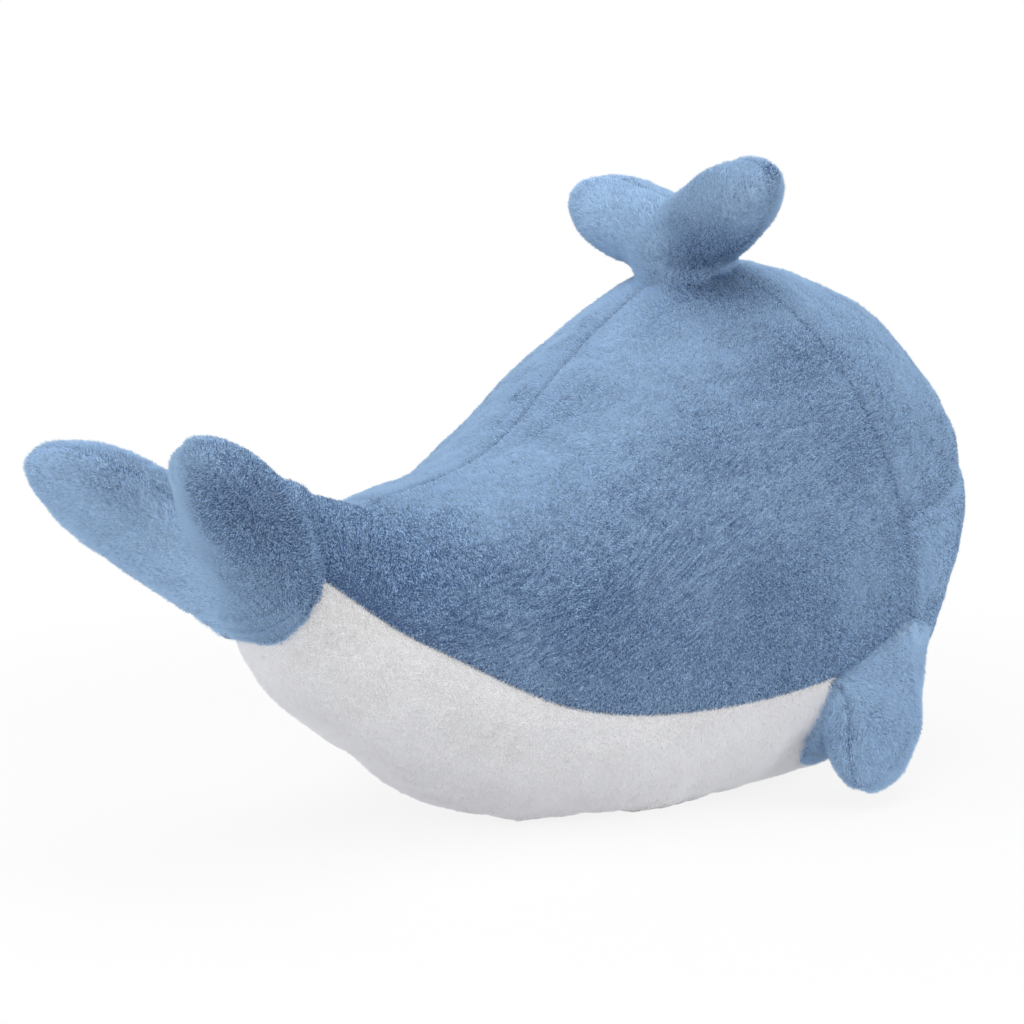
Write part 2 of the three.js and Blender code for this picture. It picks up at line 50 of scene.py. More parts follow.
# The body, in metres. A station is one ring round the spine: the spine's x and z, half the width,
# the rise to the back, the drop to the belly, and the belly seam's angle from the top.
TAIL = (-0.226, 0.164, 0.049, 0.042, 0.042, 91 * DEGREE)
STOCK = (-0.173, 0.135, 0.073, 0.063, 0.078, 97.5 * DEGREE)
WAIST = (-0.094, 0.130, 0.106, 0.084, 0.138, 110.5 * DEGREE)
CHEST = (0.005, 0.141, 0.143, 0.132, 0.158, 114.5 * DEGREE)
HEAD = (0.120, 0.174, 0.140, 0.151, 0.178, 117.5 * DEGREE)
STATIONS = np.array([TAIL, STOCK, WAIST, CHEST, HEAD])
SPINE = STATIONS[:, :2]
GIRTHS = np.vstack([STATIONS, CHEST])[:, 2:]
HEAD_SEAM = len(STATIONS) - 1
NOSE_REACH = 0.123
CHIN_RISE = 35 * DEGREE
PRESS_BLEND = 0.006
FLOOR_GAP = 0.0005
INSIDE_BODY = np.array([0.02, 0.0, 0.15])

# The face is flatter than a round head: by how much, and in degrees where that starts below the face seam,
# where it ends under the chin, over how many each of them eases, and how many the head seam's ease takes.
FACE_FLAT = dict(depth=0.0085, start=8, start_ease=36, end=88, end_ease=22, side_ease=32)

# Points of each panel, along and across it. The belly has rings to the head seam, then rows up the chin.
SIDE_GRID = (190, 130)
FOREHEAD_GRID = (110, 200)
FACE_GRID = (100, 200)
BELLY_RINGS = 170
CHIN_ROWS = 30
BELLY_COLUMNS = 150

# The plush: how far the pile stands over its backing, and how thick the backing is.
PILE = 0.0022
FLUKE_PILE = 0.0050
SPOUT_PILE = 0.0028
CLOTH = 0.0028

# Uneven filling: a place on the body, its radius, and how far the cloth sinks there, or swells.
SLACK = [
    ((0.170, -0.030, 0.312), 0.058, 0.0060),
    ((0.115, -0.005, 0.323), 0.035, 0.0045),
    ((0.200, -0.095, 0.225), 0.030, 0.0020),
    ((0.058, 0.015, 0.310), 0.050, -0.0065),
    ((-0.065, 0.015, 0.232), 0.055, 0.0048),
    ((-0.027, 0.080, 0.240), 0.040, 0.0050),
    ((-0.198, 0.015, 0.195), 0.025, -0.0025),
]

# Small lumps of the filling and the pile's tufts: heights and wavelengths. They start away from a seam, and
# the fins and the other limbs have a share of them. Loose fibre has one height and wavelength.
LUMPS = [(0.0016, 0.085), (0.0006, 0.026), (0.00035, 0.0065)]
LUMPS_START = 0.02
FIN_LUMPS = 0.6
LIMB_LUMPS = 0.7
FIBRE_LUMPS = (0.0014, 0.022)

# Starting numbers of the seeded unevenness
PANEL_SEED = 11
BLUE_TONE_SEED = 21
PALE_TONE_SEED = 41
FIBRE_SEED = 61
FLUKE_SEED = 71
SPOUT_SEED = 81
FIN_SEED = 91

# Rolled seams: how deep the cloth is drawn in, and how far from the seam that starts.
BACK_ROLL = (0.0012, 0.006)
HEAD_ROLL = (0.0014, 0.007)
BELLY_ROLL = (0.0014, 0.007)
FACE_ROLL = (0.0014, 0.007)
ROOT_ROLL = (0.0030, 0.010)
RIM_ROLL = (0.0016, 0.006)

# Limbs: length, half width and half thickness at the root and at the swell, and the swell's place.
FLUKE = dict(length=0.1655, root=(0.036, 0.025), swell=(0.047, 0.0265), swell_at=0.57)
SPOUT = dict(length=0.104, root=(0.025, 0.024), swell=(0.027, 0.030), swell_at=0.050 / 0.101)
FIN = dict(length=0.080, root=(0.042, 0.016), swell=(0.036, 0.019), swell_at=0.45)
FLUKE_SPREAD = 30 * DEGREE
FLUKE_PITCH = 60 * DEGREE
FLUKE_ROLL = 12 * DEGREE
FLUKE_BEND = 0.21
FLUKE_SETBACK = 0.008
FLUKE_BELOW_SPINE = 0.029

# The fluke's root: its dome's length, its rise above and drop below the tail's ring, and the first rings'
# places behind the tail's end, with how far they lie inside that ring.
NECK = dict(length=0.045, saddle=0.009, sag=0.006, dome_rings=12)
NECK_RINGS = [(-0.010, 0.006), (-0.002, 0.003), (0.002, 0.0028), (0.005, 0.0015)]
# Cloth past this share of the tail's ring is drawn back to a gap behind the seam, by a share of its way.
TAIL_CLEAR = dict(ring=0.90, ease=0.12, gap=0.001, share=0.92)
GATHERS = dict(depth=0.0014, spacing=0.009, reach=0.018, from_middle=0.4, fade=0.05)

SPOUT_SPREAD = 69 * DEGREE
SPOUT_LEAN = 8 * DEGREE
SPOUT_ROLL = 6 * DEGREE
SPOUT_ROOT = np.array([0.065148, 0.0, 0.315025])
STEM = dict(height=0.017, half_width=0.029, half_depth=0.036, drawn_in=0.002, sunk=0.022, top=0.0125)

# The fin's sewn lines go from a back station, through stations with angles from the top, to the face.
FIN_STATION = 3.76
FIN_BACK = 3.42
FIN_BACK_BELOW_SEAM = 1 * DEGREE
FIN_OUTER_ROOT = [(3.62, 115), (3.82, 113.5), (3.98, 112)]
FIN_INNER_ROOT = [(3.36, 127), (3.37, 141), (3.58, 149), (3.84, 138)]
FIN_FRONT = (-60 * DEGREE, -52 * DEGREE)
FIN_EDGE_SUNK = 0.012
FIN_ROOT_SUNK = 0.002
FIN_SPLAY = -8 * DEGREE
FIN_SWEEP = -21 * DEGREE
FIN_BEND = 0.13
FIN_SEAM_TURN = 26 * DEGREE
FIN_EASE = 0.5
FIN_INNER_EASE = 0.50
FIN_INNER_BULGE = 0.018
FIN_GRID = 64

# Shares of the spout's stem: the first gives the start passed with the spout's covers, which isn't used.
SPOUT_FLEX = (0.3, 1.5)

# Limb skins and fillings are fused on an even grid, then smoothed. A lobe has rings and a least size.
LIMB_VOXEL = 0.0024
LIMB_SMOOTHING = 55
FIBRE_VOXEL = 0.003
FIBRE_SMOOTHING = 8
LOBE_GRID = (40, 48)
LOBE_CORE = 0.0005
RING_POINTS = 64

# A point behind a limb's cover: its share of the limb's length, and its depth.
LIMB_MIDDLE = 0.3
LIMB_INSIDE = 0.02
# How far behind the root the point lies that a limb's pile is combed away from.
COMB_BEHIND = 0.02

# Filling: where it starts along a limb, and how far it lies inside the cloth.
FLUKE_FIBRE = (0.045, 0.0155)
SPOUT_FIBRE = (0.012, 0.0130)
FIN_FIBRE = (0.026, 0.0110)
BODY_FIBRE = 0.019

# The safety eyes: their dome, the clearing in the pile round them, and their place on the head.
EYE = dict(radius=0.008, height=0.006, rim=0.0006, sunk=0.0036, clearing=0.004)
EYE_PLACE = (4.7, 62 * DEGREE)

# The pile: strands to the square metre, their length and radius, and tufts, specks and swirls to the metre.
STRANDS = 2.4e6
STRAND_LENGTH = 0.0032
STRAND_RADIUS = 0.00014
TUFTS = 1100.0
SPECKS = 1800.0
SWIRLS = 380.0
# The backing under the pile: streaks to the metre, along and across the pile, and specks.
BACKING_STREAKS = (150.0, 620.0, 620.0)
BACKING_SPECKS = 900.0
# A strand stands up, leans as it is combed and by chance, swirls, is drawn into its tuft, and tapers.
LEAN = dict(stand=0.80, comb=0.32, stray=0.16, swirl=0.8, tuft=0.70, taper=0.7)
# A strand's shade: at its root, what its tip gains, its speck's share and its own, and how painted shade and
# tone raise grain. The darker root is painted shade between the strands.
SHADE = dict(root=0.45, tip=0.40, speck=0.70, own=0.30, tone_grain=100, ruffle=0.20)
# The pile is shorter at a seam, a rim and the floor: its least share, and the way to gain a whole length.
SEAM_PILE = (0.55, 0.008)
RIM_PILE = (0.55, 0.010)
LIMB_PILE = 1.05
FLOOR_PILE = (0.12, 0.014)

# Painted shade: how much darker the pile is painted on steep cloth of the sides, head and limbs, which faces
# away from the light above (a negative share paints light instead), and along seams and rims.
SIDE_PAINTED_SHADE = 0.30
HEAD_PAINTED_SHADE = 0.21
LIMB_PAINTED_SHADING = -0.05
STEEP = 0.8
SEAM_PAINTED_SHADE = (0.17, 0.0022)
RIM_PAINTED_SHADE = (0.10, 0.003)
TONE_RIPPLES = [(0.036, 0.045), (0.018, 0.016)]

# Patches of the pile painted darker or lighter: a place, its radius, and how much darker or lighter it looks.
# Some are pile brushed another way, and some are painted shade and painted light where the lamps leave a
# place too light or too dark.
PATCHES_AND_PAINTED_SHADING = [
    ((0.067, -0.094, 0.275), 0.036, 0.14),
    ((0.092, -0.122, 0.232), 0.034, 0.06),
    ((0.030, -0.105, 0.250), 0.040, 0.10),
    ((-0.018, -0.115, 0.213), 0.038, 0.14),
    ((-0.084, -0.109, 0.145), 0.036, 0.16),
    ((-0.123, -0.087, 0.158), 0.026, 0.12),
    # Painted shade at the crease by the tail's root.
    ((-0.200, -0.040, 0.182), 0.045, 0.50),
    ((-0.172, -0.060, 0.160), 0.035, 0.26),
    # A darker patch low on the head's right.
    ((0.100, -0.135, 0.050), 0.050, 0.14),
    # Painted light on the right front of the head.
    ((0.090, -0.137, 0.165), 0.045, -0.13),
    ((0.094, -0.134, 0.120), 0.026, -0.10),
    ((0.144, -0.132, 0.140), 0.040, -0.10),
    # Lighter and darker patches on the body and the fluke.
    ((0.039, -0.077, 0.275), 0.022, -0.08),
    ((-0.072, -0.102, 0.174), 0.025, 0.10),
    ((-0.136, -0.067, 0.176), 0.025, 0.06),
    ((-0.082, -0.054, 0.206), 0.025, 0.05),
    ((-0.298, -0.085, 0.208), 0.034, 0.60),
    ((-0.265, -0.088, 0.195), 0.024, 0.16),
    ((-0.266, -0.033, 0.154), 0.028, 0.09),
    ((-0.269, -0.075, 0.183), 0.024, 0.18),
    ((-0.248, -0.059, 0.162), 0.020, 0.20),
    ((-0.317, -0.047, 0.231), 0.022, -0.14),
    ((-0.270, 0.000, 0.165), 0.026, -0.16),
    ((-0.326, 0.026, 0.220), 0.014, 0.12),
    ((-0.314, 0.016, 0.211), 0.014, 0.12),
    # Painted shade on the spout's stem under its right lobe.
    ((0.050, -0.046, 0.324), 0.030, 0.25),
    ((0.049, -0.024, 0.318), 0.014, 0.22),
    # A small darker spot on the spout.
    ((0.062, -0.080, 0.377), 0.006, 0.25),
]

# The camera, fitted to the photograph's outline. The picture is 1024 by 1024.
CAMERA_AZIMUTH = -35.98 * DEGREE
CAMERA_ELEVATION = 9.21 * DEGREE
CAMERA_DISTANCE = 1.550
CAMERA_TARGET = np.array([-0.020, 0.0, 0.163])
CAMERA_OFFSET = (-0.0367, 0.01123)
CAMERA_LENS = 90.81


# Curves and forms of the body

def spline(knots, at):
    """Points and slopes of the smooth curve through the knots, at places counted in knots."""
    ends = np.vstack([2 * knots[0] - knots[1], knots, 2 * knots[-1] - knots[-2]])
    at = np.asarray(at, float)
    start = np.clip(np.floor(at).astype(int), 0, len(knots) - 2)
    t = (at - start)[..., None]
    p0, p1, p2, p3 = (ends[start + i] for i in range(4))
    linear = 0.5 * (p2 - p0)
    square = p0 - 2.5 * p1 + 2 * p2 - 0.5 * p3
    cube = -0.5 * p0 + 1.5 * p1 - 1.5 * p2 + 0.5 * p3
    return p1 + t * linear + t**2 * square + t**3 * cube, linear + 2 * t * square + 3 * t**2 * cube


def unit(vectors):
    """Each vector at length one."""
    size = np.linalg.norm(vectors, axis=-1, keepdims=True)
    return vectors / np.maximum(size, 1e-9)


def in_midplane(pairs):
    """Points in the whale's plane of symmetry, from their x and z."""
    return np.stack([pairs[..., 0], np.zeros(pairs.shape[:-1]), pairs[..., 1]], -1)


def spine(station):
    """The spine's point, its direction towards the head, and the direction up from it."""
    point, slope = spline(SPINE, station)
    along = unit(in_midplane(slope))
    up = np.stack([-along[..., 2], along[..., 1], along[..., 0]], -1)
    return in_midplane(point), along, up


def girth(station):
    """Half width, rise, drop and belly seam angle at a station."""
    return np.moveaxis(spline(GIRTHS, station)[0], -1, 0)


def pressed(height):
    """The height of a point once the floor has pressed it, with a soft edge."""
    soft = (height + PRESS_BLEND) ** 2 / (4 * PRESS_BLEND)
    above = np.where(height >= PRESS_BLEND, height, soft)
    return np.where(height <= -PRESS_BLEND, 0.0, above)


def rested(points, inset):
    """The points with those near the floor pressed flat."""
    lowest = np.maximum(inset, FLOOR_GAP)
    points[..., 2] = lowest + pressed(points[..., 2] - lowest)
    return points


def body_point(station, angle, inset=PILE):
    """A point of the body: angle 0 is the back, and a positive angle is on the left."""
    station, angle, inset = np.broadcast_arrays(np.asarray(station, float), angle, inset)
    ring = np.minimum(station, HEAD_SEAM)
    centre, along, up = spine(ring)
    half_width, rise, drop, _ = girth(ring)
    lean = np.maximum(station - HEAD_SEAM, 0) * math.pi / 2
    height = np.where(np.cos(angle) > 0, rise, drop) - inset
    points = centre + up * (height * np.cos(angle) * np.cos(lean))[..., None]
    points = points + along * ((NOSE_REACH - inset) * np.sin(lean))[..., None]
    points[..., 1] = (half_width - inset) * np.sin(angle) * np.cos(lean)
    return rested(points, inset)


def head_point(elevation, side, inset=PILE):
    """A point in front of the head seam: elevation 0 is the nose's height, side 90 the left."""
    elevation, side, inset = np.broadcast_arrays(np.asarray(elevation, float), side, inset)
    centre, along, up = spine(np.full(elevation.shape, float(HEAD_SEAM)))
    half_width, rise, drop, _ = girth(np.full(elevation.shape, float(HEAD_SEAM)))
    height = np.where(elevation > 0, rise, drop) - inset
    points = centre + along * ((NOSE_REACH - inset) * np.cos(elevation) * np.cos(side))[..., None]
    points = points + up * (height * np.sin(elevation) * np.cos(side))[..., None]
    points[..., 1] = (half_width - inset) * np.sin(side)
    return rested(points, inset)


def circle(count):
    """Angles spread evenly over a full turn."""
    return np.linspace(0, 2 * math.pi, count, endpoint=False)


def eased(share):
    """A share from nought to one with soft ends."""
    share = np.clip(share, 0, 1)
    return share * share * (3 - 2 * share)


def face_flat(elevation, side):
    """How much flatter than a round head the face is, from below its seam to under the chin."""
    flat = FACE_FLAT
    down = -np.asarray(elevation) / DEGREE
    from_seam = (90 - np.abs(side) / DEGREE) / flat["side_ease"]
    below_face = eased((down - flat["start"]) / flat["start_ease"])
    before_chin = eased((flat["end"] - down) / flat["end_ease"])
    return flat["depth"] * below_face * before_chin * eased(from_seam)


def chin_elevation(side):
    """Where the belly panel ends under the chin."""
    belly_side = math.pi - girth(HEAD_SEAM)[3]
    share = np.clip(np.abs(side) / belly_side, 0, 1)
    return -math.pi / 2 + CHIN_RISE * np.sqrt(1 - share**4)


def ripple(points, wavelength, seed, waves=18):
    """Smooth seeded unevenness of about that wavelength, mostly between -1.5 and 1.5."""
    random = np.random.default_rng(seed)
    ways = unit(random.normal(size=(waves, 3)))
    ways = ways * (2 * math.pi / wavelength) * random.uniform(0.7, 1.4, (waves, 1))
    starts = random.uniform(0, 2 * math.pi, waves)
    return np.sin(points @ ways.T + starts).sum(-1) * math.sqrt(2 / waves) * 0.7


def arcs(grid, axis):
    """Each grid point's distance along the grid from the first and from the last line."""
    steps = np.linalg.norm(np.diff(grid, axis=axis), axis=-1)
    whole = np.cumsum(steps, axis=axis)
    first = np.insert(whole, 0, 0.0, axis=axis)
    return first, first.max(axis=axis, keepdims=True) - first


def roll(distance, depth_and_width):
    """How far cloth is drawn in at a distance from its seam."""
    depth, width = depth_and_width
    return depth * np.clip(1 - distance / width, 0, 1) ** 2


def lumps(points, seed):
    """The filling's unevenness under the cloth, and the pile's tufts."""
    return rippled(points, LUMPS, seed)


def rippled(points, ripples, seed):
    """Ripples of several heights and wavelengths added up."""
    return sum(height * ripple(points, wave, seed + step) for step, (height, wave) in enumerate(ripples))


def patches(points, places):
    """Soft round patches added up: each has a place, a radius and a strength."""
    total = 0.0
    for place, radius, strength in places:
        gap = np.linalg.norm(points - place, axis=-1)
        total = total + strength * np.exp(-((gap / radius) ** 2))
    return total


def painted_line_shade(distance, strength_and_width):
    """Painted shade along a seam's crease: how much darker the line is at a distance from it."""
    strength, width = strength_and_width
    return strength * np.exp(-((distance / width) ** 2))


# Closed cloth from points and faces

def grid_faces(rows, columns):
    """The faces of a grid of points, counted row by row."""
    corner = np.arange(rows * columns).reshape(rows, columns)
    a, b = corner[:-1, :-1], corner[:-1, 1:]
    c, d = corner[1:, 1:], corner[1:, :-1]
    return np.stack([a, b, c, d], -1).reshape(-1, 4).tolist()


def welded(points, faces, values):
    """The same cloth with coinciding points made one."""
    _, first, index = np.unique(np.round(points, 6), axis=0, return_index=True, return_inverse=True)
    index = index.reshape(-1).tolist()
    found = [list(dict.fromkeys(index[corner] for corner in face)) for face in faces]
    kept = {name: value[first] for name, value in values.items()}
    return points[first], [face for face in found if len(face) > 2], kept


def mesh_of(name, points, faces):
    """A smooth mesh of these points and faces."""
    mesh = bpy.data.meshes.new(name)
    mesh.from_pydata(np.asarray(points).tolist(), [], faces)
    mesh.validate()
    mesh.shade_smooth()
    return mesh


def normals_of(points, faces):
    """The points' normals."""
    mesh = mesh_of("normals", points, faces)
    found = np.empty(len(mesh.vertices) * 3, np.float32)
    mesh.vertices.foreach_get("normal", found)
    bpy.data.meshes.remove(mesh)
    return found.reshape(-1, 3).astype(float)


def border_of(faces):
    """The edges that only one face has, in that face's order."""
    edges = {(a, b) for face in faces for a, b in zip(face, face[1:] + face[:1])}
    return [edge for edge in edges if (edge[1], edge[0]) not in edges]


def store(mesh, name, values):
    """Keeps a number or vector for each point, for the nodes to read."""
    kind, field = ("FLOAT_VECTOR", "vector") if values.ndim == 2 else ("FLOAT", "value")
    attribute = mesh.attributes.new(name, kind, "POINT")
    attribute.data.foreach_set(field, np.ascontiguousarray(values, np.float32).reshape(-1))


def placed(name, mesh, material):
    """A new object in the scene that shows the mesh in one material."""
    mesh.materials.append(material)
    piece = bpy.data.objects.new(name, mesh)
    bpy.context.scene.collection.objects.link(piece)
    return piece


def cloth_piece(name, points, faces, inside, values, material):
    """A closed piece of cloth: its pile side, its lining and the turned edge between them."""
    points, faces, values = welded(points, faces, values)
    normals = normals_of(points, faces)
    if np.sum(normals * (points - inside)) < 0:
        faces = [face[::-1] for face in faces]
        normals = -normals
    count = len(points)
    lining = [[corner + count for corner in face[::-1]] for face in faces]
    edge = [[b, a, a + count, b + count] for a, b in border_of(faces)]
    both = np.vstack([points, points - normals * CLOTH])
    mesh = mesh_of(name, both, faces + lining + edge)
    for key, value in values.items():
        under = np.zeros_like(value) if key == "pile" else value
        store(mesh, key, np.concatenate([value, under]))
    return placed(name, mesh, material)


# Node trees

class Tree:
    """A node tree, with one short call to add a node and set or link its inputs."""

    def __init__(self, tree):
        self.tree = tree

    def add(self, kind, inputs=None, **settings):
        node = self.tree.nodes.new(kind)
        for key, value in settings.items():
            setattr(node, key, value)
        for key, value in (inputs or {}).items():
            if isinstance(value, bpy.types.NodeSocket):
                self.tree.links.new(value, node.inputs[key])
            else:
                node.inputs[key].default_value = value
        return node

    def math(self, operation, a, b=0.0, clamp=False):
        return self.add("ShaderNodeMath", {0: a, 1: b}, operation=operation, use_clamp=clamp).outputs[0]

    def scaled(self, value, factor, shift):
        inputs = {0: value, 1: factor, 2: shift}
        return self.add("ShaderNodeMath", inputs, operation="MULTIPLY_ADD").outputs[0]

    def noise(self, place, scale, detail, distortion=0.0):
        inputs = {"Vector": place, "Scale": scale, "Detail": detail, "Distortion": distortion}
        return self.add("ShaderNodeTexNoise", inputs)

    def vector(self, operation, a, b):
        key = "Scale" if operation == "SCALE" else 1
        node = self.add("ShaderNodeVectorMath", {0: a, key: b}, operation=operation)
        return node.outputs["Value" if operation == "DOT_PRODUCT" else "Vector"]

    def colour(self, factor, a, b):
        return self.add("ShaderNodeMix", {0: factor, 6: a, 7: b}, data_type="RGBA").outputs[2]

    def attribute(self, name, output):
        return self.add("ShaderNodeAttribute", attribute_name=name).outputs[output]


def srgb(red, green, blue):
    """A colour typed from 0 to 255, as the linear numbers that a shader takes."""
    shares = np.array([red, green, blue]) / 255
    linear = np.where(shares <= 0.04045, shares / 12.92, ((shares + 0.055) / 1.055) ** 2.4)
    return (*linear.tolist(), 1.0)


def new_material(name):
    """An empty node material, with its tree."""
    material = bpy.data.materials.new(name)
    material.use_nodes = True
    material.node_tree.nodes.clear()
    return material, Tree(material.node_tree)


def finish_material(tree, shader):
    """Links the shader to the material's output."""
    output = tree.add("ShaderNodeOutputMaterial")
    tree.tree.links.new(shader.outputs[0], output.inputs["Surface"])


def plush_backing(name, light, dark):
    """Plush seen as cloth: streaks along the pile, darker patches with painted shade and light, and the
    pile's fine relief.
    """
    material, tree = new_material(name)
    lay = tree.attribute("lay", "Vector")
    tone = tree.attribute("tone", "Fac")
    stretched = tree.vector("MULTIPLY", lay, BACKING_STREAKS)
    streaks = tree.noise(stretched, 1.0, 3.0)
    specks = tree.noise(lay, BACKING_SPECKS, 2.0)
    streak = tree.scaled(streaks.outputs[0], 1.5, -0.20)
    speck = tree.scaled(specks.outputs[0], 0.5, -0.25)
    total = tree.math("ADD", streak, speck)
    # Painted shade and tone darken the cloth's colour.
    shade = tree.math("SUBTRACT", total, tone, True)
    relief = tree.add("ShaderNodeBump", {"Strength": 0.6, "Distance": 0.0012, "Height": total})
    shader = tree.add(
        "ShaderNodeBsdfPrincipled",
        {
            "Base Color": tree.colour(shade, dark, light),
            "Roughness": 0.95,
            "Specular IOR Level": 0.15,
            "Sheen Weight": 0.15,
            "Sheen Roughness": 0.6,
            "Normal": relief.outputs[0],
        },
    )
    finish_material(tree, shader)
    return material


def plush_strands(name, light, dark, grain):
    """One strand of pile: darker at its root as painted shade between the strands, each a little different,
    lit as the cloth under it is.
    """
    material, tree = new_material(name)
    strand = tree.add("ShaderNodeHairInfo")
    tone = tree.attribute("tone", "Fac")
    # Painted shade: darker towards the root, in place of the shadow that the strands don't cast.
    reach = tree.scaled(strand.outputs["Intercept"], SHADE["tip"], SHADE["root"])
    place = tree.add("ShaderNodeTexCoord").outputs["Object"]
    speck = tree.add("ShaderNodeTexVoronoi", {"Vector": place, "Scale": SPECKS})
    patch = tree.math("MULTIPLY", speck.outputs["Color"], SHADE["speck"])
    own = tree.math("MULTIPLY", strand.outputs["Random"], SHADE["own"])
    uneven = tree.math("SUBTRACT", tree.math("ADD", patch, own), 0.5)
    toned = tree.math("MULTIPLY", tone, SHADE["tone_grain"] * grain)
    contrast = tree.math("ADD", tree.math("MAXIMUM", toned, 0.0), grain)
    grained = tree.math("ADD", reach, tree.math("MULTIPLY", uneven, contrast))
    # Painted shade and tone darken the strand.
    shade = tree.math("SUBTRACT", grained, tone, True)
    ruffle = tree.vector("SCALE", tree.attribute("stray", "Vector"), SHADE["ruffle"])
    facing = tree.vector("ADD", tree.attribute("skin_normal", "Vector"), ruffle)
    turned = tree.add(
        "ShaderNodeVectorTransform",
        {"Vector": facing},
        vector_type="NORMAL",
        convert_from="OBJECT",
        convert_to="WORLD",
    )
    colour = tree.colour(shade, dark, light)
    behind = tree.vector("SCALE", turned.outputs[0], -1.0)
    near_side = tree.add("ShaderNodeBsdfDiffuse", {"Color": colour, "Normal": turned.outputs[0]})
    far_side = tree.add("ShaderNodeBsdfTranslucent", {"Color": colour, "Normal": behind})
    shader = tree.add("ShaderNodeAddShader", {0: near_side.outputs[0], 1: far_side.outputs[0]})
    finish_material(tree, shader)
    return material


def fibre_material(name):
    """Loose white filling fibre."""
    material, tree = new_material(name)
    place = tree.add("ShaderNodeTexCoord").outputs["Object"]
    wisps = tree.noise(place, 260.0, 4.0, 2.0)
    relief = tree.add("ShaderNodeBump", {"Strength": 0.8, "Distance": 0.002, "Height": wisps.outputs[0]})
    shader = tree.add(
        "ShaderNodeBsdfPrincipled",
        {
            "Base Color": tree.colour(wisps.outputs[0], srgb(205, 206, 207), srgb(240, 240, 238)),
            "Roughness": 0.9,
            "Sheen Weight": 0.2,
            "Normal": relief.outputs[0],
        },
    )
    finish_material(tree, shader)
    return material


def plastic_material(name, dark, light, roughness, coat):
    """Moulded plastic with a faint flow mark and fine scuffs."""
    material, tree = new_material(name)
    place = tree.add("ShaderNodeTexCoord").outputs["Object"]
    flow = tree.noise(place, 180.0, 3.0)
    scuffs = tree.noise(place, 1500.0, 2.0)
    worn = tree.scaled(scuffs.outputs[0], 0.12, roughness - 0.06)
    relief = tree.add("ShaderNodeBump", {"Strength": 0.05, "Distance": 0.0002, "Height": scuffs.outputs[0]})
    shader = tree.add(
        "ShaderNodeBsdfPrincipled",
        {
            "Base Color": tree.colour(flow.outputs[0], dark, light),
            "Roughness": worn,
            "Coat Weight": coat,
            "Normal": relief.outputs[0],
        },
    )
    finish_material(tree, shader)
    return material


# The pile

